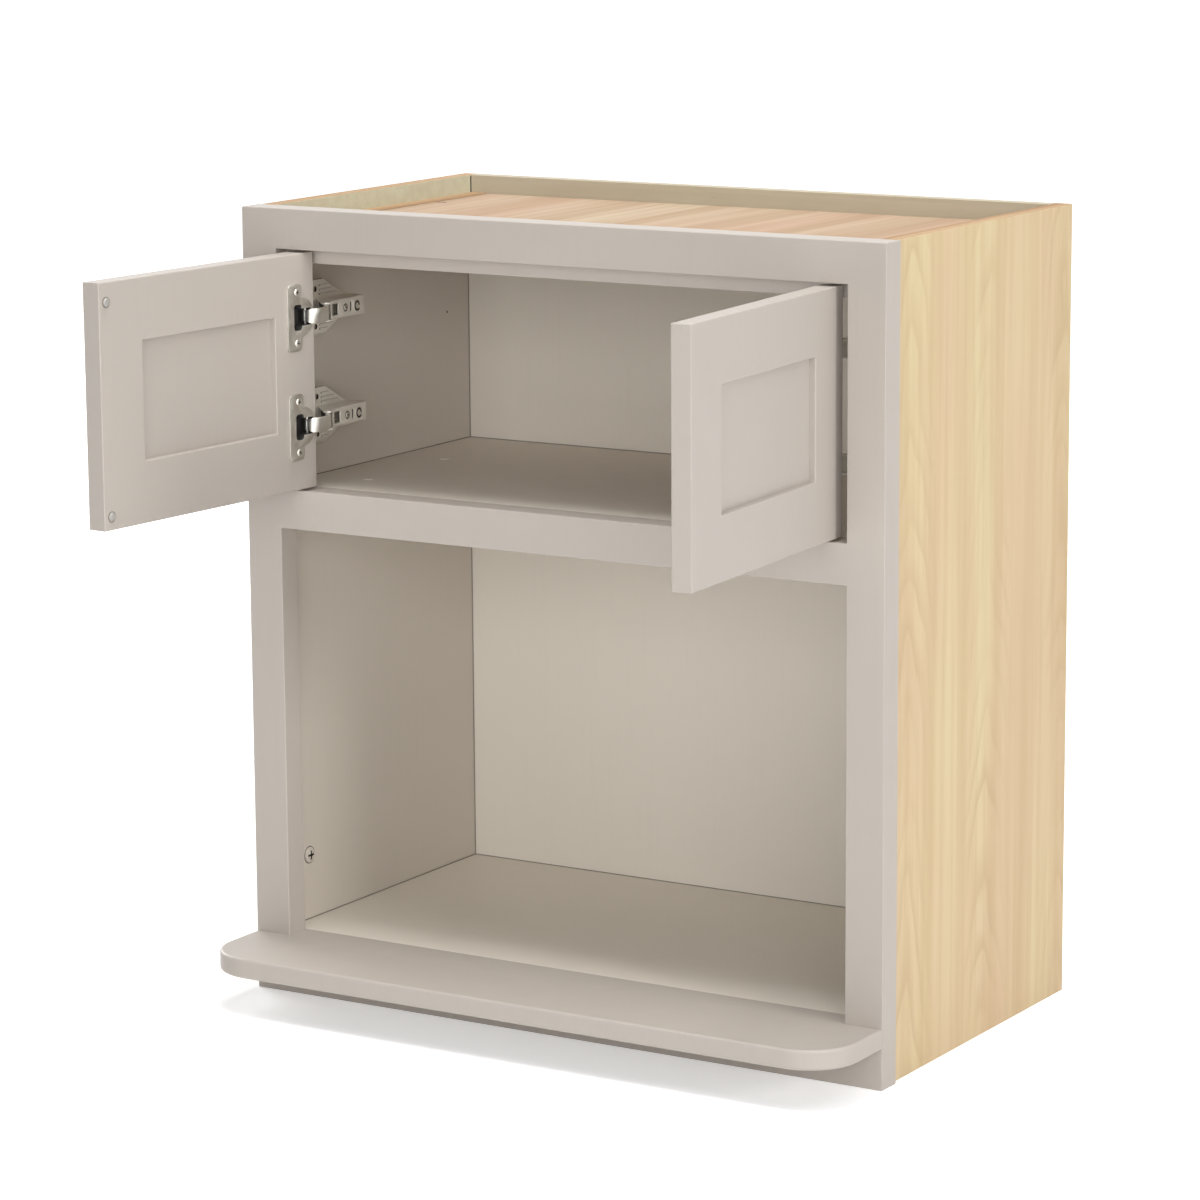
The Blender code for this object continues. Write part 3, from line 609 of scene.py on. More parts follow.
@dataclass
class Finishes:
    """The cabinet's materials, each built once."""

    paint: bpy.types.Material = field(init=False)
    inside: bpy.types.Material = field(init=False)
    shelf: bpy.types.Material = field(init=False)
    back: bpy.types.Material = field(init=False)
    maple: bpy.types.Material = field(init=False)
    top_ply: bpy.types.Material = field(init=False)
    rim: bpy.types.Material = field(init=False)
    rail: bpy.types.Material = field(init=False)
    raw_edge: bpy.types.Material = field(init=False)
    nickel: bpy.types.Material = field(init=False)
    painted_edge_shade: bpy.types.Material = field(init=False)
    satin: bpy.types.Material = field(init=False)
    pad: bpy.types.Material = field(init=False)
    painted_hollow_shade: bpy.types.Material = field(init=False)
    seam: bpy.types.Material = field(init=False)

    def __post_init__(self) -> None:
        """Build every finish."""
        self.paint = SatinPaint("greige_satin_paint", srgb(180, 172, 164)).make()
        # The inside walls, the shelves and the back board take lighter copies of the greige paint, each set
        # by how much light reaches it: painted light.
        self.inside = SatinPaint("greige_inside_painted_light", srgb(203, 195, 184), roughness=0.48).make()
        self.shelf = SatinPaint("greige_shelf_painted_light", srgb(223, 216, 205), roughness=0.48).make()
        self.back = SatinPaint("greige_back_board_painted_light", srgb(216, 209, 198), roughness=0.50).make()
        self.maple = Timber(
            "maple_veneer",
            srgb(212, 195, 157),
            srgb(193, 166, 128),
            srgb(208, 182, 150),
            Grain.ALONG_Z,
            bands=5.0,
            wander=9.0,
            figure=0.32,
            streaks=0.40,
            flames=Flames(axis_offset=0.170, half_spacing=0.078, pitch=0.072),
        ).make()
        self.top_ply = Timber(
            "top_plywood",
            srgb(190, 172, 148),
            srgb(166, 140, 114),
            srgb(185, 157, 135),
            Grain.ALONG_Y,
            bands=3.5,
            wander=9.0,
            roughness=0.72,
            shine=0.08,
        ).make()
        self.rim = Timber(
            "khaki_rim",
            srgb(198, 195, 171),
            srgb(182, 175, 149),
            srgb(193, 187, 165),
            Grain.ALONG_X,
            figure=0.3,
            roughness=0.60,
        ).make()
        self.rail = Timber(
            "khaki_hanging_rail",
            srgb(189, 181, 160),
            srgb(173, 162, 139),
            srgb(184, 174, 154),
            Grain.ALONG_X,
            figure=0.3,
            roughness=0.60,
        ).make()
        self.raw_edge = Timber(
            "raw_board_edge",
            srgb(184, 156, 124),
            srgb(150, 118, 88),
            srgb(172, 142, 110),
            Grain.ALONG_Y,
            roughness=0.75,
            shine=0.08,
        ).make()
        self.nickel = PlatedMetal("nickel_plate", srgb(224, 221, 213)).make()
        # A dark copy of the plating: painted shade on the wing plates' cut edges and rib flanks.
        self.painted_edge_shade = PlatedMetal("painted_shade_on_sheet_edges", srgb(70, 68, 65), roughness=0.55).make()
        # A lighter, part-metallic copy of the nickel plating: painted light on the hinge arms and wing
        # plates.
        self.satin = PlatedMetal("nickel_painted_light_copy", srgb(230, 226, 217), roughness=0.5, metallic=0.55).make()
        self.pad = SoftPad("clear_soft_pad", srgb(196, 193, 188)).make()
        # Painted shade for holes, recesses, slots, grooves and open joints.
        self.painted_hollow_shade = PaintedShade("painted_shade_in_recesses", srgb(38, 36, 34)).make()
        # Painted contact shade along inside corners and round the feet of the soft pads.
        self.seam = PaintedShade("painted_corner_shade", srgb(134, 127, 116)).make()


def node_object(name: str) -> bpy.types.Object:
    """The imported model's object for a node."""
    return bpy.data.objects[name]


def face_outward(bm: bmesh.types.BMesh) -> None:
    """Turn a closed mesh's faces to look outward.

    Args:
        bm: The mesh.
    """
    bmesh.ops.recalc_face_normals(bm, faces=bm.faces)
    if bm.calc_volume(signed=True) < 0.0:
        bmesh.ops.reverse_faces(bm, faces=bm.faces)


def piece_from(name: str, bm: bmesh.types.BMesh, *materials: bpy.types.Material) -> bpy.types.Object:
    """A piece at the origin from a finished bmesh.

    Args:
        name: The piece's name.
        bm: Its mesh, which is freed.
        materials: Its materials in slot order.

    Returns:
        The piece.
    """
    face_outward(bm)
    mesh = bpy.data.meshes.new(name)
    bm.to_mesh(mesh)
    bm.free()
    for material in materials:
        mesh.materials.append(material)
    piece = bpy.data.objects.new(name, mesh)
    bpy.context.scene.collection.objects.link(piece)
    return piece


def settle(piece: bpy.types.Object) -> None:
    """Turn a piece's modifiers into plain mesh.

    Args:
        piece: The piece.
    """
    depsgraph = bpy.context.evaluated_depsgraph_get()
    mesh = bpy.data.meshes.new_from_object(
        piece.evaluated_get(depsgraph), preserve_all_data_layers=True, depsgraph=depsgraph
    )
    piece.modifiers.clear()
    former = piece.data
    piece.data = mesh
    bpy.data.meshes.remove(former)
    mesh.name = piece.name


def smooth(piece: bpy.types.Object, sharp_angle: float | None = None) -> None:
    """Shade a piece smooth.

    Args:
        piece: The piece.
        sharp_angle: Edges sharper than this, in degrees, stay crisp.
    """
    piece.data.polygons.foreach_set("use_smooth", [True] * len(piece.data.polygons))
    if sharp_angle is not None:
        piece.data.set_sharp_from_angle(angle=math.radians(sharp_angle))


def ease(
    piece: bpy.types.Object,
    width: float,
    segments: int = 3,
    angle: float = 40.0,
    square: Callable[[Vector], bool] | None = None,
) -> None:
    """Round a piece's edges, keeping its flat faces flat.

    Args:
        piece: The piece.
        width: How far from the edge the rounding starts.
        segments: Steps round the edge.
        angle: Edges sharper than this, in degrees, are rounded.
        square: Tells by an edge's middle whether the edge stays square in a joint.
    """
    smooth(piece)
    bevel = piece.modifiers.new("eased_edges", "BEVEL")
    bevel.limit_method = "ANGLE"
    bevel.angle_limit = math.radians(angle)
    if square is not None:
        bevel.limit_method = "WEIGHT"
        weigh_edges(piece, math.radians(angle), square)
    bevel.width = width
    bevel.segments = segments
    bevel.harden_normals = True
    settle(piece)


def weigh_edges(piece: bpy.types.Object, angle: float, square: Callable[[Vector], bool]) -> None:
    """Mark the edges of a piece that are to be rounded, and those that stay square.

    Args:
        piece: The piece.
        angle: Edges sharper than this, in radians, are marked.
        square: Tells by an edge's middle whether the edge stays square.
    """
    bm = bmesh.new()
    bm.from_mesh(piece.data)
    weight = bm.edges.layers.float.new("bevel_weight_edge")
    for edge in bm.edges:
        middle = (edge.verts[0].co + edge.verts[1].co) / 2
        if edge.calc_face_angle(0.0) > angle:
            edge.smooth = not square(middle)
            edge[weight] = 1.0 if edge.smooth else 0.0
    bm.to_mesh(piece.data)
    bm.free()


def cut_from(piece: bpy.types.Object, cutter: bpy.types.Object) -> None:
    """Cut a helper's shape out of a piece, and drop the helper.

    Args:
        piece: The piece.
        cutter: The helper.
    """
    boolean = piece.modifiers.new("cut", "BOOLEAN")
    boolean.object = cutter
    boolean.operation = "DIFFERENCE"
    boolean.solver = "EXACT"
    settle(piece)
    former = cutter.data
    bpy.data.objects.remove(cutter)
    bpy.data.meshes.remove(former)


def seat(piece: bpy.types.Object, body: str, slot: Slot, *nodes: str) -> None:
    """Let a piece ride on its body and stand for CAD nodes.

    Args:
        piece: The piece.
        body: The body that carries it.
        slot: The record's slot that it takes its finish from; not used.
        nodes: The nodes that it replaces.
    """
    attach(piece, body)
    if nodes:
        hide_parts(*nodes)
    LOG.info("%s: %d faces on %s", piece.name, len(piece.data.polygons), body)


def board_with_openings(
    across: Sequence[float],
    heights: Sequence[float],
    openings: Sequence[tuple[int, int]],
    front: float,
    back: float,
) -> bmesh.types.BMesh:
    """An upright board in one piece with rectangular openings.

    Args:
        across: Cuts along X, from low to high.
        heights: Cuts along Z, from low to high.
        openings: Column and row of each cell that is left open.
        front: Y of the front face.
        back: Y of the back face.

    Returns:
        The closed mesh.
    """
    bm = bmesh.new()
    corners = {
        (i, k, depth): bm.verts.new((x, y, z))
        for i, x in enumerate(across)
        for k, z in enumerate(heights)
        for depth, y in enumerate((front, back))
    }
    columns = len(across) - 1
    rows = len(heights) - 1
    filled = {(i, k) for i in range(columns) for k in range(rows)} - set(openings)
    for i, k in filled:
        ring = [(i, k), (i + 1, k), (i + 1, k + 1), (i, k + 1)]
        neighbours = [(i, k - 1), (i + 1, k), (i, k + 1), (i - 1, k)]
        for depth in (0, 1):
            bm.faces.new([corners[(*corner, depth)] for corner in ring])
        for n, neighbour in enumerate(neighbours):
            if neighbour not in filled:
                start = ring[n]
                end = ring[(n + 1) % len(ring)]
                wall = [(*start, 0), (*end, 0), (*end, 1), (*start, 1)]
                bm.faces.new([corners[corner] for corner in wall])
    loose = [vert for vert in bm.verts if not vert.link_faces]
    bmesh.ops.delete(bm, geom=loose, context="VERTS")
    return bm


def add_box(bm: bmesh.types.BMesh, low: Sequence[float], high: Sequence[float]) -> None:
    """Add a box to a mesh.

    Args:
        bm: The mesh.
        low: The box's lowest corner.
        high: Its highest corner.
    """
    low = Vector(low)
    size = Vector(high) - low
    matrix = Matrix.Translation(low + size / 2) @ Matrix.Diagonal((*size, 1.0))
    bmesh.ops.create_cube(bm, size=1.0, matrix=matrix)


def drawn_from(outline: Sequence[Vector], way: Vector) -> bmesh.types.BMesh:
    """A closed mesh drawn out from a flat outline.

    Args:
        outline: The outline's points.
        way: The way that it is drawn, as long as the mesh is thick.

    Returns:
        The mesh.
    """
    bm = bmesh.new()
    near = [bm.verts.new(point) for point in outline]
    far = [bm.verts.new(point + way) for point in outline]
    bm.faces.new(near)
    bm.faces.new(far)
    for i in range(len(near)):
        j = (i + 1) % len(near)
        bm.faces.new((near[i], near[j], far[j], far[i]))
    return bm


@dataclass
class FaceFrame:
    """Stiles and rails, filled and painted as one frame."""

    finishes: Finishes
    rails: tuple[str, ...] = ("bottom", "middle", "top")
    openings: tuple[tuple[int, int], ...] = ((1, 1), (1, 3))
    edge_round: float = 0.0009

    def build(self) -> None:
        """Build the frame in one mesh over its five members."""
        outer_low, left_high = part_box("left_frame_stile")
        right_low, outer_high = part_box("right_frame_stile")
        heights = [value for rail in self.rails for value in self.rail_heights(rail)]
        across = [outer_low[0], left_high[0], right_low[0], outer_high[0]]
        bm = board_with_openings(across, heights, self.openings, outer_low[1], outer_high[1])
        frame = piece_from("painted_face_frame", bm, self.finishes.paint)
        ledge_joint = self.rail_heights("bottom")[1]
        ease(frame, self.edge_round, square=lambda middle: abs(middle.z - ledge_joint) < SAME_PLACE)
        rails = [f"{rail}_frame_rail" for rail in self.rails]
        seat(frame, CABINET_BODY, Slot.PAINT, "left_frame_stile", "right_frame_stile", *rails)

    def rail_heights(self, rail: str) -> tuple[float, float]:
        """The lower and upper edge of a rail."""
        low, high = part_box(f"{rail}_frame_rail")
        return low[2], high[2]


@dataclass
class Ledge:
    """The rounded shelf nosing in front of the bay."""

    finishes: Finishes
    corner_radius: float = 0.050
    corner_steps: int = 24
    edge_round: float = 0.0028
    edge_steps: int = 5

    def build(self) -> None:
        """Build the ledge with smooth corners and softened edges."""
        low, high = (Vector(corner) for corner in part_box("microwave_ledge"))
        radius = self.corner_radius
        outline = [Vector((low.x, high.y, low.z)), Vector((high.x, high.y, low.z))]
        for centre_x, start in ((high.x - radius, 0.0), (low.x + radius, -90.0)):
            for step in range(self.corner_steps + 1):
                angle = math.radians(start - 90.0 * step / self.corner_steps)
                across = centre_x + radius * math.cos(angle)
                outline.append(Vector((across, low.y + radius + radius * math.sin(angle), low.z)))
        bm = drawn_from(outline, Vector((0.0, 0.0, high.z - low.z)))
        ledge = piece_from("painted_ledge", bm, self.finishes.paint)
        ease(ledge, self.edge_round, self.edge_steps, square=lambda middle: high.y - middle.y < SAME_PLACE)
        seat(ledge, CABINET_BODY, Slot.PAINT, "microwave_ledge")


class SideFinish(Enum):
    """The finishes of a side panel, by their place among its materials."""

    VENEER = 0
    PAINT = 1
    BARE = 2
    EDGE = 3


@dataclass
class Carcass:
    """Side panels in their several finishes, and the boards between them."""

    finishes: Finishes
    edge_round: float = 0.0004
    edge_steps: int = 2
    facing_share: float = 0.5

    def build(self) -> None:
        """Build the side panels and dress the other boards."""
        for side in Side:
            self.build_side(side)
        self.dress("upper_deck", self.finishes.shelf)
        self.dress("bay_floor", self.finishes.shelf)
        self.dress("back_panel", self.finishes.back)
        self.dress("door_stop", self.finishes.paint)
        self.dress("top_panel", self.finishes.top_ply)
        self.dress("upper_hanging_rail", self.finishes.rail)
        self.dress("lower_hanging_rail", self.finishes.rail)

    def dress(self, node: str, material: bpy.types.Material) -> None:
        """Give a CAD node its finish.

        Args:
            node: The node.
            material: The finish.
        """
        board = node_object(node)
        board.data.materials.clear()
        board.data.materials.append(material)
        LOG.info("%s: dressed in %s", node, material.name)

    def build_side(self, side: Side) -> None:
        """Build a side panel: maple outside, paint inside, bare wood above the top panel.

        Args:
            side: Which side panel.
        """
        node = f"{side.value}_side_panel"
        low, high = (Vector(corner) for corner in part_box(node))
        top_low, top_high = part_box("top_panel")
        split = (top_low[2] + top_high[2]) / 2
        bm = board_with_openings([low.x, high.x], [low.z, split, high.z], [], low.y, high.y)
        face_outward(bm)
        for face in bm.faces:
            face.material_index = self.side_finish(face, side, split).value
        materials = (self.finishes.maple, self.finishes.inside, self.finishes.rim, self.finishes.raw_edge)
        panel = piece_from(f"{side.value}_veneered_side", bm, *materials)
        ease(panel, self.edge_round, self.edge_steps)
        seat(panel, CABINET_BODY, Slot.MAPLE, node)

    def side_finish(self, face: bmesh.types.BMFace, side: Side, split: float) -> SideFinish:
        """Which finish a side panel's face takes.

        Args:
            face: The face.
            side: Which side panel it is on.
            split: Height of the change from painted to bare wood.

        Returns:
            The finish.
        """
        inward = face.normal.x * side.hand
        if abs(inward) < self.facing_share:
            return SideFinish.EDGE
        if inward < 0.0:
            return SideFinish.VENEER
        return SideFinish.BARE if face.calc_center_median().z > split else SideFinish.PAINT


@dataclass
class DoorPlace:
    """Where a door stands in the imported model, and the way into it from door coordinates.

    Door coordinates are across from the hinge edge, back from the outer face and up from the middle.
    """

    side: Side
    record: dict
    shown_open: float = 94.0
    pin_from_edge: float = 0.0075
    pin_from_front: float = 0.01445
    cup_from_edge: float = 0.0205
    hinge_offset: float = 0.0518

    def __post_init__(self) -> None:
        """Look up the door's pivot and turn."""
        joints = {joint["name"]: joint for joint in self.record["behaviour"]["joints"]}
        self.pivot = Vector(joints[f"{self.side.value}_door_swing"]["pos_m"])
        self.turn = Matrix.Rotation(math.radians(-self.side.hand * self.shown_open), 3, "Z")

    def at(self, across: float, back: float, height: float) -> Vector:
        """A door point in the model's frame."""
        local = Vector(((across - self.pin_from_edge) * self.side.hand, back - self.pin_from_front, height))
        return self.pivot + self.turn @ local

    def facing(self, across: float, back: float, height: float) -> Vector:
        """A door direction in the model's frame."""
        return self.turn @ Vector((across * self.side.hand, back, height))

    def door_coordinates(self, point: Vector) -> Vector:
        """A point of the model's frame in door coordinates."""
        local = self.turn.transposed() @ (point - self.pivot)
        return Vector((local.x * self.side.hand + self.pin_from_edge, local.y + self.pin_from_front, local.z))

    def node_box(self, node: str) -> tuple[Vector, Vector]:
        """A door node's box in door coordinates.

        Args:
            node: The node.

        Returns:
            Its lowest and its highest corner.
        """
        points = [self.door_coordinates(vert.co) for vert in node_object(node).data.vertices]
        low = Vector([min(point[axis] for point in points) for axis in range(3)])
        high = Vector([max(point[axis] for point in points) for axis in range(3)])
        return low, high


@dataclass
class Door:
    """An inset shaker door: a painted frame with cup bores, a recessed panel and soft pads."""

    place: DoorPlace
    finishes: Finishes
    opening: tuple[int, int] = (1, 1)
    edge_round: float = 0.0010
    panel_overlap: float = 0.002
    bore_radius: float = 0.01735
    bore_depth: float = 0.0127
    bore_steps: int = 48
    pad_round: float = 0.0007
    pad_steps: int = 4
    shade_ring_width: float = 0.0006
    shade_ring_rise: float = 0.0001

    @property
    def word(self) -> str:
        """The door's side as its nodes name it."""
        return self.place.side.value

    @property
    def body(self) -> str:
        """The body that the door's pieces ride on."""
        return f"{self.word}_door"

    def build(self) -> None:
        """Build the door's boards and its pads."""
        self.build_boards()
        for level in Level:
            self.build_pad(level)

    def build_boards(self) -> None:
        """Build the stiles and rails as one painted mesh, and the panel between them."""
        hinge_low, hinge_high = self.place.node_box(f"{self.word}_door_hinge_stile")
        free_low, free_high = self.place.node_box(f"{self.word}_door_free_stile")
        _, bottom_high = self.place.node_box(f"{self.word}_door_bottom_rail")
        top_low, _ = self.place.node_box(f"{self.word}_door_top_rail")
        panel_low, panel_high = self.place.node_box(f"{self.word}_door_panel")
        across = [hinge_low.x, hinge_high.x, free_low.x, free_high.x]
        heights = [hinge_low.z, bottom_high.z, top_low.z, hinge_high.z]
        bm = board_with_openings(across, heights, [self.opening], hinge_low.y, hinge_high.y)
        self.to_model(bm)
        boards = piece_from(f"{self.word}_painted_door", bm, self.finishes.paint)
        for level in Level:
            cut_from(boards, self.bore(level))
        ease(boards, self.edge_round)

        bm = bmesh.new()
        overlap = Vector((self.panel_overlap, 0.0, self.panel_overlap))
        low = Vector((hinge_high.x, panel_low.y, bottom_high.z)) - overlap
        high = Vector((free_low.x, panel_high.y, top_low.z)) + overlap
        add_box(bm, low, high)
        self.to_model(bm)
        panel = piece_from(f"{self.word}_painted_panel", bm, self.finishes.paint)
        words = ("hinge_stile", "free_stile", "top_rail", "bottom_rail")
        seat(boards, self.body, Slot.PAINT, *(f"{self.word}_door_{word}" for word in words))
        seat(panel, self.body, Slot.PAINT, f"{self.word}_door_panel")

    def bore(self, level: Level) -> bpy.types.Object:
        """A helper the shape of a hinge cup's bore.

        Args:
            level: Which of the door's hinges.

        Returns:
            The helper.
        """
        inner_face = self.place.node_box(f"{self.word}_door_hinge_stile")[1].y
        bm = bmesh.new()
        back = inner_face - self.bore_depth / 2 + self.edge_round
        middle = (self.place.cup_from_edge, back, level.sign * self.place.hinge_offset)
        bmesh.ops.create_cone(
            bm,
            cap_ends=True,
            segments=self.bore_steps,
            radius1=self.bore_radius,
            radius2=self.bore_radius,
            depth=self.bore_depth + 2 * self.edge_round,
            matrix=Matrix.Translation(middle) @ Matrix.Rotation(math.radians(90.0), 4, "X"),
        )
        self.to_model(bm)
        return piece_from(f"{self.word}_{level.value}_bore", bm)

    def to_model(self, bm: bmesh.types.BMesh) -> None:
        """Move a mesh from door coordinates into the model's frame."""
        for vert in bm.verts:
            vert.co = self.place.at(*vert.co)

    def build_pad(self, level: Level) -> None:
        """Build a soft pad with a rounded crown, and a thin ring of painted contact shade round its foot.

        Args:
            level: Which of the door's pads.
        """
        node = f"{self.word}_{level.value}_bumper"
        pad = refined_copy(node, f"{node}_dome", self.finishes.pad, self.pad_round, self.pad_steps)
        seat(pad, self.body, Slot.PAD, node)
        low, high = self.place.node_box(node)
        radius = (high.x - low.x) / 2 + self.shade_ring_width
        foot = self.place.at((low.x + high.x) / 2, low.y, (low.z + high.z) / 2)
        profile = disc_profile(radius, radius, self.shade_ring_rise, self.shade_ring_rise)
        rim = lathe(f"{node}_rim", profile, foot, self.place.facing(0.0, 1.0, 0.0), self.finishes.seam)
        seat(rim, self.body, Slot.PAD)


def refined_copy(
    node: str, name: str, material: bpy.types.Material, edge_round: float, segments: int = 2
) -> bpy.types.Object:
    """A CAD node's shape with merged faces, rounded edges and smooth rounds.

    Args:
        node: The node to copy.
        name: The new piece's name.
        material: Its finish.
        edge_round: How far its edges are rounded.
        segments: Steps round each edge.

    Returns:
        The piece.
    """
    bm = bmesh.new()
    bm.from_mesh(node_object(node).data)
    bmesh.ops.remove_doubles(bm, verts=bm.verts, dist=MERGE_DISTANCE)
    bmesh.ops.dissolve_limit(bm, angle_limit=math.radians(FLAT_ANGLE), verts=bm.verts, edges=bm.edges)
    piece = piece_from(name, bm, material)
    ease(piece, edge_round, segments, angle=SHEET_EDGE_ANGLE)
    return piece


def turned_to(facing: Vector, place: Vector) -> Matrix:
    """The matrix that stands a piece drawn along Z on a place, facing a way."""
    return Matrix.Translation(place) @ facing.to_track_quat("Z", "Y").to_matrix().to_4x4()


def disc_profile(flat: float, radius: float, rise: float, sunk: float) -> Profile:
    """The profile of a thin disc for the lathe.

    Args:
        flat: Radius of its flat face.
        radius: Its full radius, where its rim goes into what it lies on.
        rise: How far its face stands out.
        sunk: How far its rim goes in.

    Returns:
        Radius and height of each point.
    """
    return [(0.0, rise), (flat, rise), (radius, -sunk)]


def crowned_profile(crown: Profile, radius: float, rise: float, sunk: float) -> Profile:
    """The profile of a disc with a shaped crown for the lathe.

    Args:
        crown: Radius and height of the crown's points, as shares of the radius and the rise.
        radius: The disc's full radius, where its rim goes into what it lies on.
        rise: How far its middle stands out.
        sunk: How far its rim goes in.

    Returns:
        Radius and height of each point.
    """
    points = [(across * radius, height * rise) for across, height in crown]
    return [*points, (radius, -sunk)]


def lathe(
    name: str,
    profile: Profile,
    place: Vector,
    facing: Vector,
    material: bpy.types.Material,
    steps: int = 32,
) -> bpy.types.Object:
    """A round piece turned from its profile.

    Args:
        name: The piece's name.
        profile: Radius and height of each point, from the middle of the face outwards and down.
        place: Where its base is.
        facing: The way that its face looks.
        material: Its finish.
        steps: Steps round the circle.

    Returns:
        The piece.
    """
    bm = bmesh.new()
    matrix = turned_to(facing, place)
    rings = []
    for radius, height in profile[1:]:
        angles = [math.tau * step / steps for step in range(steps)]
        points = [Vector((radius * math.cos(angle), radius * math.sin(angle), height)) for angle in angles]
        rings.append([bm.verts.new(matrix @ point) for point in points])
    crown = bm.verts.new(matrix @ Vector((0.0, 0.0, profile[0][1])))
    for step in range(steps):
        after = (step + 1) % steps
        bm.faces.new((crown, rings[0][step], rings[0][after]))
        for inner, outer in zip(rings, rings[1:]):
            bm.faces.new((inner[step], outer[step], outer[after], inner[after]))
    bm.faces.new(rings[-1])
    piece = piece_from(name, bm, material)
    smooth(piece, TURNED_EDGE_ANGLE)
    return piece


def slab(
    name: str,
    outline: Sequence[tuple[float, float]],
    thickness: float,
    place: Vector,
    facing: Vector,
    material: bpy.types.Material,
) -> bpy.types.Object:
    """A flat piece cut to an outline.

    Args:
        name: The piece's name.
        outline: The outline on the piece's own face, sideways and up.
        thickness: How far it goes in behind its face.
        place: The middle of its face.
        facing: The way that its face looks.
        material: Its finish.

    Returns:
        The piece.
    """
    matrix = turned_to(facing, place)
    points = [matrix @ Vector((x, y, 0.0)) for x, y in outline]
    return piece_from(name, drawn_from(points, -facing * thickness), material)


def spiral_strip(
    name: str,
    radii: tuple[float, float],
    width: float,
    place: Vector,
    facing: Vector,
    material: bpy.types.Material,
    turn: float = 320.0,
    steps: int = 40,
    thickness: float = 0.00004,
) -> bpy.types.Object:
    """A thin flat strip wound outwards on a face.

    Args:
        name: The piece's name.
        radii: Radius at its start and at its end.
        width: Its width.
        place: The spiral's middle.
        facing: The way that it looks.
        material: Its finish.
        turn: How far it winds, in degrees.
        steps: Steps along it.
        thickness: Its thickness.

    Returns:
        The piece.
    """
    bm = bmesh.new()
    matrix = turned_to(facing, place)
    sections = []
    for step in range(steps + 1):
        share = step / steps
        angle = math.radians(turn * share)
        middle = radii[0] + (radii[1] - radii[0]) * share
        way = Vector((math.cos(angle), math.sin(angle), 0.0))
        corners = []
        for reach, height in ((-0.5, 0.0), (0.5, 0.0), (0.5, -thickness), (-0.5, -thickness)):
            point = way * (middle + reach * width) + Vector((0.0, 0.0, height))
            corners.append(bm.verts.new(matrix @ point))
        sections.append(corners)
    for before, after in zip(sections, sections[1:]):
        for i in range(len(before)):
            j = (i + 1) % len(before)
            bm.faces.new((before[i], before[j], after[j], after[i]))
    bm.faces.new(sections[0])
    bm.faces.new(sections[-1])
    return piece_from(name, bm, material)


@dataclass
class Screw:
    """One cross-recessed screw head: where it sits, which way it faces and its radius."""

    place: Vector
    facing: Vector
    radius: float


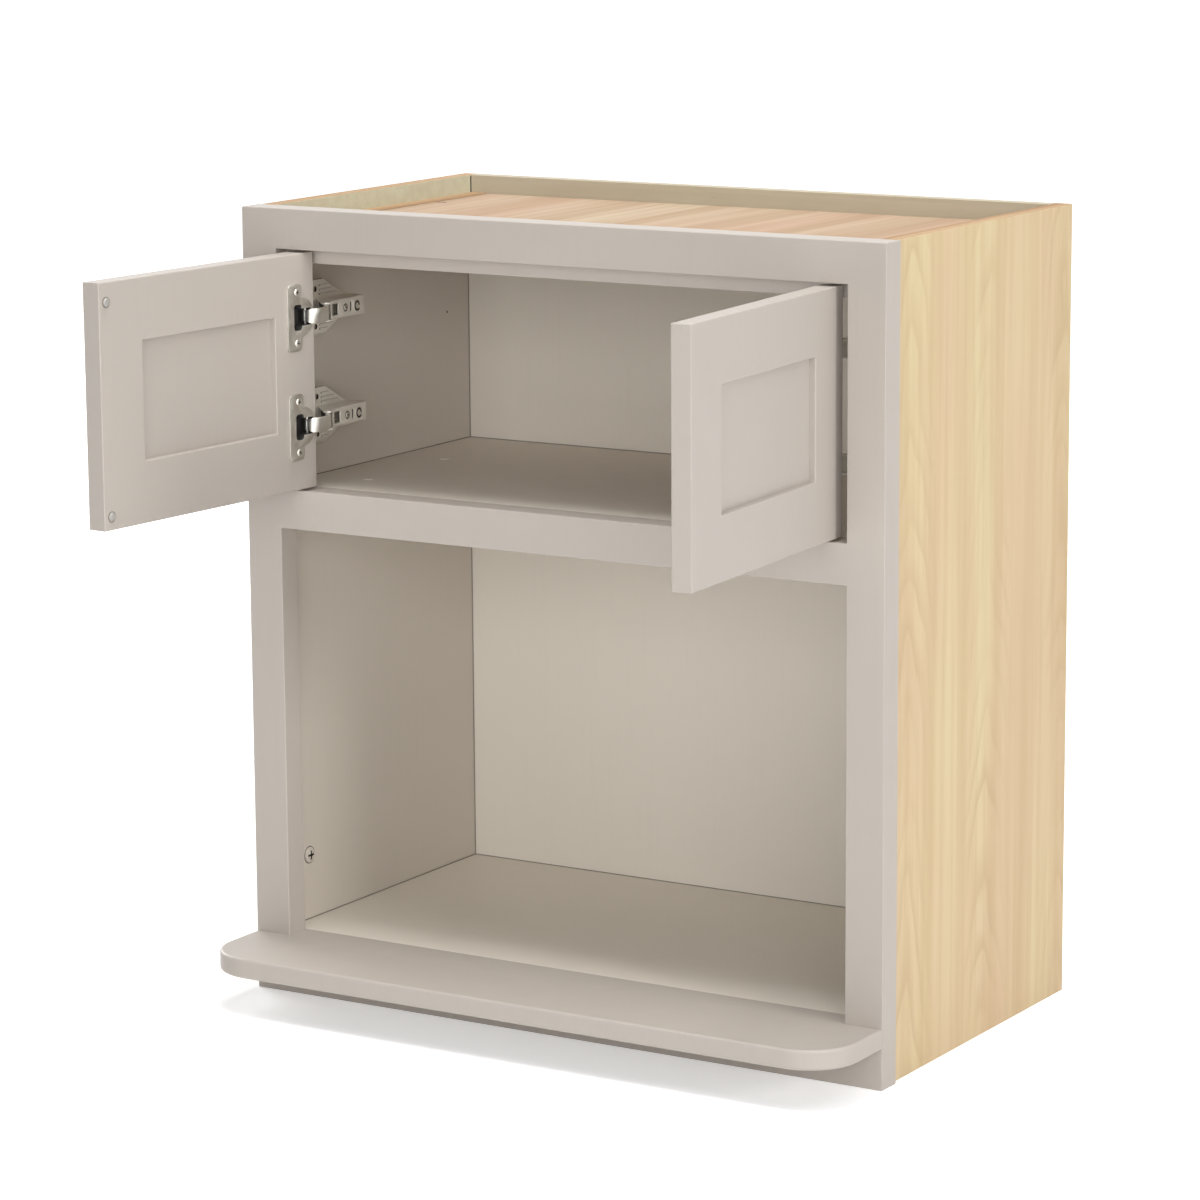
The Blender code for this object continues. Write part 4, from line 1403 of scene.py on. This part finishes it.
@dataclass
class ScrewHeads:
    """All screw heads of one body, drawn by one node tree."""

    finishes: Finishes
    rise: float = 0.30
    slot_length: float = 1.15
    slot_width: float = 0.26
    slot_depth: float = 0.42
    rings: int = 10
    segments: int = 28
    sharp_angle: float = 35.0

    def build(
        self, name: str, body: str, screws: Sequence[Screw], material: bpy.types.Material, slot: Slot
    ) -> None:
        """Draw a body's screw heads into one mesh.

        Args:
            name: The piece's name.
            body: The body that carries the screws.
            screws: The screws.
            material: The heads' finish.
            slot: The record's slot of that finish.
        """
        mesh = bpy.data.meshes.new(name)
        mesh.from_pydata([screw.place for screw in screws], [], [])
        mesh.attributes.new("facing", "FLOAT_VECTOR", "POINT")
        mesh.attributes.new("head_radius", "FLOAT", "POINT")
        for index, screw in enumerate(screws):
            mesh.attributes["facing"].data[index].vector = screw.facing
            mesh.attributes["head_radius"].data[index].value = screw.radius
        piece = bpy.data.objects.new(name, mesh)
        bpy.context.scene.collection.objects.link(piece)
        tree = self.tree()
        modifier = piece.modifiers.new("screw_heads", "NODES")
        modifier.node_group = tree
        values = {
            "Rise": self.rise,
            "Slot Length": self.slot_length,
            "Slot Width": self.slot_width,
            "Slot Depth": self.slot_depth,
            "Head Finish": material,
            "Recess Painted Shade": self.finishes.painted_hollow_shade,
        }
        for item in tree.interface.items_tree:
            if item.in_out == "INPUT" and item.name in values:
                modifier[item.identifier] = values[item.name]
        settle(piece)
        smooth(piece, self.sharp_angle)
        seat(piece, body, slot)

    def tree(self) -> bpy.types.GeometryNodeTree:
        """The node tree: a domed head with a cross cut whose faces take painted shade, set on every point.

        Returns:
            The tree.
        """
        tree = bpy.data.node_groups.new("cross_screw_heads", "GeometryNodeTree")
        face = tree.interface
        face.new_socket("Geometry", in_out="INPUT", socket_type="NodeSocketGeometry")
        for name in ("Rise", "Slot Length", "Slot Width", "Slot Depth"):
            face.new_socket(name, in_out="INPUT", socket_type="NodeSocketFloat")
        for name in ("Head Finish", "Recess Painted Shade"):
            face.new_socket(name, in_out="INPUT", socket_type="NodeSocketMaterial")
        face.new_socket("Geometry", in_out="OUTPUT", socket_type="NodeSocketGeometry")
        nodes = tree.nodes
        link = tree.links.new
        given = nodes.new("NodeGroupInput").outputs
        result = nodes.new("NodeGroupOutput").inputs

        dome = nodes.new("GeometryNodeMeshUVSphere")
        dome.inputs["Segments"].default_value = self.segments
        dome.inputs["Rings"].default_value = self.rings
        dome.inputs["Radius"].default_value = 1.0
        flat = nodes.new("ShaderNodeCombineXYZ")
        flat.inputs["X"].default_value = 1.0
        flat.inputs["Y"].default_value = 1.0
        link(given["Rise"], flat.inputs["Z"])
        head = nodes.new("GeometryNodeTransform")
        link(dome.outputs["Mesh"], head.inputs["Geometry"])
        link(flat.outputs["Vector"], head.inputs["Scale"])

        cross = nodes.new("GeometryNodeMeshBoolean")
        cross.operation = "DIFFERENCE"
        link(head.outputs["Geometry"], cross.inputs["Mesh 1"])
        for names in (("Slot Length", "Slot Width"), ("Slot Width", "Slot Length")):
            size = nodes.new("ShaderNodeCombineXYZ")
            link(given[names[0]], size.inputs["X"])
            link(given[names[1]], size.inputs["Y"])
            link(given["Slot Depth"], size.inputs["Z"])
            lift = nodes.new("ShaderNodeCombineXYZ")
            link(given["Rise"], lift.inputs["Z"])
            bar = nodes.new("GeometryNodeMeshCube")
            link(size.outputs["Vector"], bar.inputs["Size"])
            raised = nodes.new("GeometryNodeTransform")
            link(bar.outputs["Mesh"], raised.inputs["Geometry"])
            link(lift.outputs["Vector"], raised.inputs["Translation"])
            marked = nodes.new("GeometryNodeStoreNamedAttribute")
            marked.data_type = "BOOLEAN"
            marked.domain = "FACE"
            marked.inputs["Name"].default_value = "recess"
            marked.inputs["Value"].default_value = True
            link(raised.outputs["Geometry"], marked.inputs["Geometry"])
            link(marked.outputs["Geometry"], cross.inputs["Mesh 2"])

        facing = nodes.new("GeometryNodeInputNamedAttribute")
        facing.data_type = "FLOAT_VECTOR"
        facing.inputs["Name"].default_value = "facing"
        radius = nodes.new("GeometryNodeInputNamedAttribute")
        radius.data_type = "FLOAT"
        radius.inputs["Name"].default_value = "head_radius"
        align = nodes.new("FunctionNodeAlignRotationToVector")
        align.axis = "Z"
        link(facing.outputs["Attribute"], align.inputs["Vector"])
        spread = nodes.new("GeometryNodeInstanceOnPoints")
        link(given["Geometry"], spread.inputs["Points"])
        link(cross.outputs["Mesh"], spread.inputs["Instance"])
        link(align.outputs["Rotation"], spread.inputs["Rotation"])
        link(radius.outputs["Attribute"], spread.inputs["Scale"])
        real = nodes.new("GeometryNodeRealizeInstances")
        link(spread.outputs["Instances"], real.inputs["Geometry"])
        plate = nodes.new("GeometryNodeSetMaterial")
        link(real.outputs["Geometry"], plate.inputs["Geometry"])
        link(given["Head Finish"], plate.inputs["Material"])
        recess = nodes.new("GeometryNodeInputNamedAttribute")
        recess.data_type = "BOOLEAN"
        recess.inputs["Name"].default_value = "recess"
        shade = nodes.new("GeometryNodeSetMaterial")
        link(plate.outputs["Geometry"], shade.inputs["Geometry"])
        link(recess.outputs["Attribute"], shade.inputs["Selection"])
        link(given["Recess Painted Shade"], shade.inputs["Material"])
        link(shade.outputs["Geometry"], result["Geometry"])
        return tree


@dataclass
class Fittings:
    """Small things on the boards: caps, joint screws, pin holes, a staple, strips on the top panel and
    painted shade along the seams.
    """

    finishes: Finishes
    caps: tuple[tuple[float, float], ...] = ((-0.2626, -0.2953), (-0.2661, -0.1551))
    cap_radius: float = 0.0050
    cap_rise: float = 0.0009
    cap_crown: Profile = ((0.0, 1.0), (0.7, 0.92), (0.9, 0.6))
    joint_screw_place: tuple[float, float] = (-0.3194, -0.5961)
    joint_screw_radius: float = 0.0080
    joint_shade_flat: float = 0.00864
    joint_shade_radius: float = 0.0088
    joint_shade_rise: float = 0.0001
    rim_sunk: float = 0.0002
    pin_hole_place: tuple[float, float] = (-0.0619, -0.0895)
    pin_hole_flat: float = 0.0012
    pin_hole_radius: float = 0.0013
    pin_hole_rise: float = 0.00008
    pin_hole_sunk: float = 0.0001
    pin_hole_steps: int = 16
    staple_place: tuple[float, float] = (-0.2949, -0.1116)
    staple_length: float = 0.0110
    staple_width: float = 0.0012
    staple_rise: float = 0.0002
    staple_sunk: float = 0.0003
    staple_round: float = 0.00015
    strip_width: float = 0.020
    strip_height: float = 0.0007
    strip_round: float = 0.0003
    strip_steps: int = 2
    joint_gap: float = 0.0012
    joint_depth: float = 0.0003
    seam_width: float = 0.0008

    @property
    def wall(self) -> float:
        """X of the left side panel's inner face."""
        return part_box("left_side_panel")[1][0]

    def build(self) -> list[Screw]:
        """Build the small things, apart from the heads of the joint screws.

        Returns:
            The joint screws, whose heads are painted over.
        """
        self.build_caps()
        self.build_pin_holes()
        self.build_staple()
        self.build_top_strips()
        self.build_painted_seam_shade("upper", "upper_deck", "top_panel")
        self.build_painted_seam_shade("bay", "bay_floor", "upper_deck")
        return self.joint_screws()

    def beside_wall(self, side: Side, width: float) -> list[float]:
        """The lowest and the highest X of a strip along a side panel's inner face."""
        return sorted((self.wall * side.hand, (self.wall + width) * side.hand))

    def build_painted_seam_shade(self, name: str, floor_node: str, ceiling_node: str) -> None:
        """Thin dark strips along the seams where the boards round a compartment meet: the joint lines, with
        painted contact shade.

        Args:
            name: The compartment.
            floor_node: The board below it.
            ceiling_node: The board above it.
        """
        width = self.seam_width
        end = self.wall + width
        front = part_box("left_frame_stile")[1][1]
        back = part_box("back_panel")[0][1]
        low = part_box(floor_node)[1][2]
        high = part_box(ceiling_node)[0][2]
        bm = bmesh.new()
        add_box(bm, (end, back - width, low), (-end, back, low + width))
        for side in Side:
            left, right = self.beside_wall(side, width)
            add_box(bm, (left, front, low), (right, back, low + width))
            add_box(bm, (left, back - width, low + width), (right, back, high))
        painted_seam_shade = piece_from(f"{name}_seams", bm, self.finishes.seam)
        seat(painted_seam_shade, CABINET_BODY, Slot.PAINT)

    def build_top_strips(self) -> None:
        """A thin raised brown strip along each side of the top panel, and a dark sheet of painted shade
        standing for the open joint behind it.
        """
        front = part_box("left_frame_stile")[1][1]
        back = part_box("upper_hanging_rail")[0][1]
        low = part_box("top_panel")[1][2]
        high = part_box("upper_hanging_rail")[1][2]
        for side in Side:
            left, right = self.beside_wall(side, self.strip_width)
            bm = bmesh.new()
            add_box(bm, (left, front, low), (right, back, low + self.strip_height))
            strip = piece_from(f"{side.value}_top_strip", bm, self.finishes.raw_edge)
            ease(strip, self.strip_round, self.strip_steps)
            seat(strip, CABINET_BODY, Slot.PLYWOOD)
            left, right = self.beside_wall(side, self.joint_gap)
            bm = bmesh.new()
            add_box(bm, (left, back - self.joint_depth, low), (right, back, high - self.joint_gap))
            joint = piece_from(f"{side.value}_corner_joint", bm, self.finishes.painted_hollow_shade)
            seat(joint, CABINET_BODY, Slot.PLYWOOD)

    def build_caps(self) -> None:
        """Cover caps over the screws in the deck, a pair on each side."""
        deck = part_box("upper_deck")[1][2]
        profile = crowned_profile(self.cap_crown, self.cap_radius, self.cap_rise, self.rim_sunk)
        for side in Side:
            for number, (across, back) in enumerate(self.caps):
                place = Vector((across * side.hand, back, deck))
                name = f"{side.value}_deck_cap_{number}"
                cap = lathe(name, profile, place, Vector((0.0, 0.0, 1.0)), self.finishes.shelf)
                seat(cap, CABINET_BODY, Slot.PAINT)

    def joint_screws(self) -> list[Screw]:
        """Build the rings of painted shade round the heads of the screws that join the side panels to the
        frame, low in the bay.

        Returns:
            The screws.
        """
        profile = disc_profile(self.joint_shade_flat, self.joint_shade_radius, self.joint_shade_rise, self.rim_sunk)
        screws = []
        for side in Side:
            place = Vector((self.wall * side.hand, *self.joint_screw_place))
            facing = Vector((side.hand, 0.0, 0.0))
            shade_ring = lathe(f"{side.value}_joint_screw_collar", profile, place, facing, self.finishes.painted_hollow_shade)
            seat(shade_ring, CABINET_BODY, Slot.PAINT)
            screws.append(Screw(place, facing, self.joint_screw_radius))
        return screws

    def build_pin_holes(self) -> None:
        """A small pin hole in each side of the upper compartment, drawn as a dark disc of painted shade."""
        profile = disc_profile(
            self.pin_hole_flat, self.pin_hole_radius, self.pin_hole_rise, self.pin_hole_sunk
        )
        for side in Side:
            place = Vector((self.wall * side.hand, *self.pin_hole_place))
            facing = Vector((side.hand, 0.0, 0.0))
            name = f"{side.value}_pin_hole"
            hole = lathe(name, profile, place, facing, self.finishes.painted_hollow_shade, self.pin_hole_steps)
            seat(hole, CABINET_BODY, Slot.PAINT)

    def build_staple(self) -> None:
        """A staple's crown in the top panel, sunk a little."""
        across, back = self.staple_place
        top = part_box("top_panel")[1][2]
        half_length = self.staple_length / 2
        half_width = self.staple_width / 2
        low = (across - half_length, back - half_width, top - self.staple_sunk)
        high = (across + half_length, back + half_width, top + self.staple_rise)
        bm = bmesh.new()
        add_box(bm, low, high)
        # The crown takes the near-black of the painted shade.
        staple = piece_from("top_staple", bm, self.finishes.painted_hollow_shade)
        ease(staple, self.staple_round)
        seat(staple, CABINET_BODY, Slot.NICKEL)


@dataclass
class Hinge:
    """One concealed hinge: cup, strap, arm and wing plate in plated sheet.

    Across is measured into the opening from the frame stile's inner edge, and back from the face
    frame's front, both in metres.
    """

    place: DoorPlace
    level: Level
    finishes: Finishes
    edge_round: float = 0.00025
    cup_radius: float = 0.0163
    flange_face: float = 0.02055
    bowl_lip: float = 0.002
    cup_screw_from_edge: float = 0.0265
    cup_screw_spacing: float = 0.048
    cup_screw_radius: float = 0.0034
    arm_face_start: tuple[float, float] = (0.0267, 0.0539)
    arm_face_end: tuple[float, float] = (0.0242, 0.1109)
    arm_screw_back: float = 0.0770
    arm_screw_radius: float = 0.0030
    screw_shade_radius: float = 0.0041
    screw_shade_flat: float = 0.003813
    screw_shade_rise: float = 0.00015
    screw_shade_sunk: float = 0.0002
    slot_back: float = 0.0869
    slot_width: float = 0.0029
    slot_height: float = 0.0094
    slot_depth: float = 0.0006
    slot_sheet: float = 0.0003
    slot_steps: int = 8
    cam_back: float = 0.0974
    cam_radius: float = 0.0060
    cam_rise: float = 0.0005
    cam_sunk: float = 0.0008
    cam_crown: Profile = ((0.0, 1.0), (0.8, 1.0), (0.95, 0.6))
    groove_radii: tuple[float, float] = (0.00336, 0.00468)
    groove_width: float = 0.00192
    groove_lift: float = 0.00052
    flat_share: float = 0.6

    @property
    def word(self) -> str:
        """The hinge's side and level as its nodes name it."""
        return f"{self.place.side.value}_{self.level.value}_hinge"

    @property
    def offset(self) -> float:
        """The hinge's height from the door's middle."""
        return self.level.sign * self.place.hinge_offset

    @property
    def height(self) -> float:
        """The hinge's height in the model's frame."""
        return self.place.pivot.z + self.offset

    def build(self) -> None:
        """Build the hinge's four pieces of sheet, the cam and the painted shade in the arm's slot and round
        its screw.
        """
        side = self.place.side.value
        cup = self.plated("cup", f"{side}_door", self.finishes.nickel)
        self.paint_bowl_shade(cup)
        self.plated("link", f"{side}_links", self.finishes.nickel)
        # The arm and the wing plate take the lighter copy of the plating, which paints light onto them.
        self.plated("arm", CABINET_BODY, self.finishes.satin)
        self.paint_edge_shade(self.plated("plate", CABINET_BODY, self.finishes.satin))
        self.build_cam()
        self.build_arm_painted_shade()

    def paint_edge_shade(self, plate: bpy.types.Object) -> None:
        """Paint shade onto the cut edges of the wing plate and the flanks of its ribs, with a dark copy of
        the plating.

        Args:
            plate: The wing plate's piece.
        """
        plate.data.materials.append(self.finishes.painted_edge_shade)
        for polygon in plate.data.polygons:
            if abs(polygon.normal.x) < self.flat_share:
                polygon.material_index = 1

    def build_arm_painted_shade(self) -> None:
        """Painted shade in the arm: a dark sheet down in its slot and a dark ring round its screw."""
        half_width = self.slot_width / 2
        rise = self.slot_height / 2 - half_width
        outline = []
        for middle, start in ((rise, 0.0), (-rise, 180.0)):
            for step in range(self.slot_steps + 1):
                angle = math.radians(start + 180.0 * step / self.slot_steps)
                outline.append((half_width * math.cos(angle), middle + half_width * math.sin(angle)))
        facing = self.arm_facing()
        place = self.arm_point(self.slot_back) - facing * self.slot_depth
        slot = slab(f"{self.word}_arm_slot_shade", outline, self.slot_sheet, place, facing, self.finishes.painted_hollow_shade)
        seat(slot, CABINET_BODY, Slot.NICKEL)
        profile = disc_profile(self.screw_shade_flat, self.screw_shade_radius, self.screw_shade_rise, self.screw_shade_sunk)
        place = self.arm_point(self.arm_screw_back)
        ring = lathe(f"{self.word}_arm_screw_shade_ring", profile, place, facing, self.finishes.painted_hollow_shade)
        seat(ring, CABINET_BODY, Slot.NICKEL)

    def build_cam(self) -> None:
        """The depth-setting cam in the arm: a turned disc, with a spiral strip of painted shade standing for
        its groove.
        """
        facing = self.arm_facing()
        place = self.arm_point(self.cam_back)
        profile = crowned_profile(self.cam_crown, self.cam_radius, self.cam_rise, self.cam_sunk)
        disc = lathe(f"{self.word}_cam", profile, place, facing, self.finishes.nickel)
        seat(disc, CABINET_BODY, Slot.NICKEL)
        groove = spiral_strip(
            f"{self.word}_cam_groove",
            self.groove_radii,
            self.groove_width,
            place + facing * self.groove_lift,
            facing,
            self.finishes.painted_hollow_shade,
        )
        seat(groove, CABINET_BODY, Slot.NICKEL)

    def plated(self, part: str, body: str, finish: bpy.types.Material) -> bpy.types.Object:
        """A plated copy of one of the hinge's nodes.

        Args:
            part: Which node.
            body: The body that carries it.
            finish: Its plating.

        Returns:
            The piece.
        """
        node = f"{self.word}_{part}"
        piece = refined_copy(node, f"{node}_plated", finish, self.edge_round)
        seat(piece, body, Slot.NICKEL, node)
        return piece

    def paint_bowl_shade(self, cup: bpy.types.Object) -> None:
        """Paint shade into the cup's bowl: its faces take the dark painted shade.

        Args:
            cup: The cup's piece.
        """
        cup.data.materials.append(self.finishes.painted_hollow_shade)
        for polygon in cup.data.polygons:
            centre = self.place.door_coordinates(polygon.center)
            from_axis = math.hypot(centre.x - self.place.cup_from_edge, centre.z - self.offset)
            if from_axis < self.cup_radius and centre.y < self.flange_face - self.bowl_lip:
                polygon.material_index = 1

    def arm_point(self, back: float) -> Vector:
        """A point on the middle line of the arm's flat face.

        Args:
            back: Its depth behind the face frame's front.

        Returns:
            The point.
        """
        start, end = (Vector(corner) for corner in (self.arm_face_start, self.arm_face_end))
        across = start.x + (end.x - start.x) * (back - start.y) / (end.y - start.y)
        stile_low, stile_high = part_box("left_frame_stile")
        return Vector((self.place.side.hand * (stile_high[0] + across), stile_low[1] + back, self.height))

    def arm_facing(self) -> Vector:
        """The way that the arm's flat face looks.

        Returns:
            The direction.
        """
        across = self.arm_face_end[0] - self.arm_face_start[0]
        back = self.arm_face_end[1] - self.arm_face_start[1]
        return Vector((self.place.side.hand * back, -across, 0.0)).normalized()

    def cup_screws(self) -> list[Screw]:
        """The two screws in the cup's flange.

        Returns:
            The screws.
        """
        facing = self.place.facing(0.0, 1.0, 0.0)
        screws = []
        for end in (-1, 1):
            height = self.offset + end * self.cup_screw_spacing / 2
            place = self.place.at(self.cup_screw_from_edge, self.flange_face, height)
            screws.append(Screw(place, facing, self.cup_screw_radius))
        return screws

    def arm_screws(self) -> list[Screw]:
        """The side-setting screw in the arm's face."""
        return [Screw(self.arm_point(self.arm_screw_back), self.arm_facing(), self.arm_screw_radius)]


def looking_rays(tree: bpy.types.NodeTree) -> Socket:
    """A value of 1 for rays from the camera, a mirror or a clear piece, and 0 for rays that light.

    Args:
        tree: The tree to add the nodes to.

    Returns:
        The value.
    """
    rays = tree.nodes.new("ShaderNodeLightPath")
    seen = rays.outputs["Is Camera Ray"]
    for kind in ("Is Glossy Ray", "Is Transmission Ray"):
        either = tree.nodes.new("ShaderNodeMath")
        either.operation = "MAXIMUM"
        tree.links.new(seen, either.inputs[0])
        tree.links.new(rays.outputs[kind], either.inputs[1])
        seen = either.outputs["Value"]
    return seen


@dataclass(frozen=True)
class Softbox:
    """A square soft lamp: where it stands, its edge length and its level.

    The level is how bright a white face turned to the lamp becomes, where 1 is white.
    """

    name: str
    place: tuple[float, float, float]
    size: float
    level: float

    def stand(self, aim: Sequence[float]) -> None:
        """Put the lamp up, looking at a point.

        Args:
            aim: The point.
        """
        way = Vector(aim) - Vector(self.place)
        lamp = bpy.data.lights.new(self.name, "AREA")
        lamp.size = self.size
        lamp.energy = math.pi**2 * way.length_squared * self.level
        holder = bpy.data.objects.new(self.name, lamp)
        holder.location = self.place
        holder.rotation_euler = way.to_track_quat("-Z", "Y").to_euler()
        bpy.context.scene.collection.objects.link(holder)


@dataclass
class Studio:
    """Floor, light and camera."""

    camera_place: tuple[float, float, float] = (2.1092, -3.7465, 0.4586)
    camera_yaw: float = -0.5490
    camera_pitch: float = -0.18915
    camera_roll: float = -0.00695
    camera_reach: float = 200.0
    lens: float = 132.16
    sensor: float = 36.0
    ambient: float = 0.10
    aim: tuple[float, float, float] = (0.0, -0.2, -0.3)
    lamps: tuple[Softbox, ...] = (
        Softbox("camera_softbox", (3.0, -4.3, 0.75), 2.2, 0.25),
        Softbox("front_softbox", (0.8, -5.0, 0.6), 2.2, 0.27),
        Softbox("side_softbox", (4.7, -1.1, 1.05), 1.0, 0.30),
        Softbox("high_side_softbox", (2.2, -0.8, 3.0), 2.4, 0.28),
        Softbox("overhead_softbox", (0.1, -0.55, 3.0), 1.2, 0.75),
        Softbox("rear_softbox", (-4.6, 1.9, 1.6), 2.6, 0.55),
    )
    floor_reach: float = 40.0
    floor_tints: Range = (0.90, 0.93)
    floor_speck_scale: float = 40.0
    floor_roughness: float = 0.9
    floor_glow: Range = (0.36, 1.0)
    floor_glow_reach: Range = (1.0, 2.8)

    def build(self, base: float) -> None:
        """Set the studio up.

        Args:
            base: Height of the floor.
        """
        scene = bpy.context.scene
        scene.view_settings.view_transform = "Standard"
        self.build_world(scene)
        self.build_floor(base)
        for lamp in self.lamps:
            lamp.stand(self.aim)
        self.build_camera(scene)

    def build_world(self, scene: bpy.types.Scene) -> None:
        """White to look at, and a plain level of light for everything else.

        Args:
            scene: The scene.
        """
        world = bpy.data.worlds.new("studio")
        scene.world = world
        world.use_nodes = True
        tree = world.node_tree
        background = tree.nodes["Background"]
        background.inputs["Color"].default_value = WHITE
        strength = tree.nodes.new("ShaderNodeMapRange")
        strength.inputs["To Min"].default_value = self.ambient
        strength.inputs["To Max"].default_value = 1.0
        tree.links.new(looking_rays(tree), strength.inputs["Value"])
        tree.links.new(strength.outputs["Result"], background.inputs["Strength"])

    def build_floor(self, base: float) -> None:
        """A pale floor that reads white and keeps the cabinet's shadow.

        Args:
            base: Height of the floor.
        """
        bm = bmesh.new()
        matrix = Matrix.Translation((0.0, 0.0, base))
        bmesh.ops.create_grid(bm, x_segments=1, y_segments=1, size=self.floor_reach, matrix=matrix)
        shader = Shader("studio_floor")
        speck = shader.noise(shader.place, self.floor_speck_scale, detail=2.0)
        away = shader.node("ShaderNodeVectorMath", {0: shader.place}, operation="LENGTH").outputs["Value"]
        glow = shader.spread(away, *self.floor_glow_reach, *self.floor_glow)
        shader.dress(
            Base_Color=shader.shaded(speck, WHITE, self.floor_tints),
            Roughness=self.floor_roughness,
            Emission_Color=WHITE,
            Emission_Strength=shader.math("MULTIPLY", looking_rays(shader.tree), glow),
        )
        floor = piece_from("studio_floor", bm, shader.material)

    def build_camera(self, scene: bpy.types.Scene) -> None:
        """The camera at the photograph's viewing angle.

        Args:
            scene: The scene.
        """
        camera = bpy.data.cameras.new("photo_camera")
        camera.sensor_width = self.sensor
        camera.lens = self.lens
        camera.clip_end = self.camera_reach
        holder = bpy.data.objects.new("photo_camera", camera)
        turn = (
            Matrix.Rotation(-self.camera_yaw, 4, "Z")
            @ Matrix.Rotation(math.pi / 2 + self.camera_pitch, 4, "X")
            @ Matrix.Rotation(self.camera_roll, 4, "Z")
        )
        holder.matrix_world = Matrix.Translation(self.camera_place) @ turn
        scene.collection.objects.link(holder)
        scene.camera = holder


def main() -> None:
    """Build the studio, then every sub-assembly."""
    logging.basicConfig(level=logging.INFO, format="%(message)s")
    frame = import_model()
    finishes = Finishes()
    Studio().build(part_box("bottom_frame_rail")[0][2])
    FaceFrame(finishes).build()
    Ledge(finishes).build()
    Carcass(finishes).build()

    heads = ScrewHeads(finishes)
    cabinet_screws: list[Screw] = []
    for side in Side:
        place = DoorPlace(side, frame["record"])
        Door(place, finishes).build()
        door_screws: list[Screw] = []
        for level in Level:
            hinge = Hinge(place, level, finishes)
            hinge.build()
            door_screws += hinge.cup_screws()
            cabinet_screws += hinge.arm_screws()
        heads.build(
            f"{side.value}_cup_screws", f"{side.value}_door", door_screws, finishes.nickel, Slot.NICKEL
        )
    heads.build("arm_screws", CABINET_BODY, cabinet_screws, finishes.nickel, Slot.NICKEL)
    joint_screws = Fittings(finishes).build()
    heads.build("joint_screws", CABINET_BODY, joint_screws, finishes.inside, Slot.PAINT)


if __name__ == "__main__":
    main()
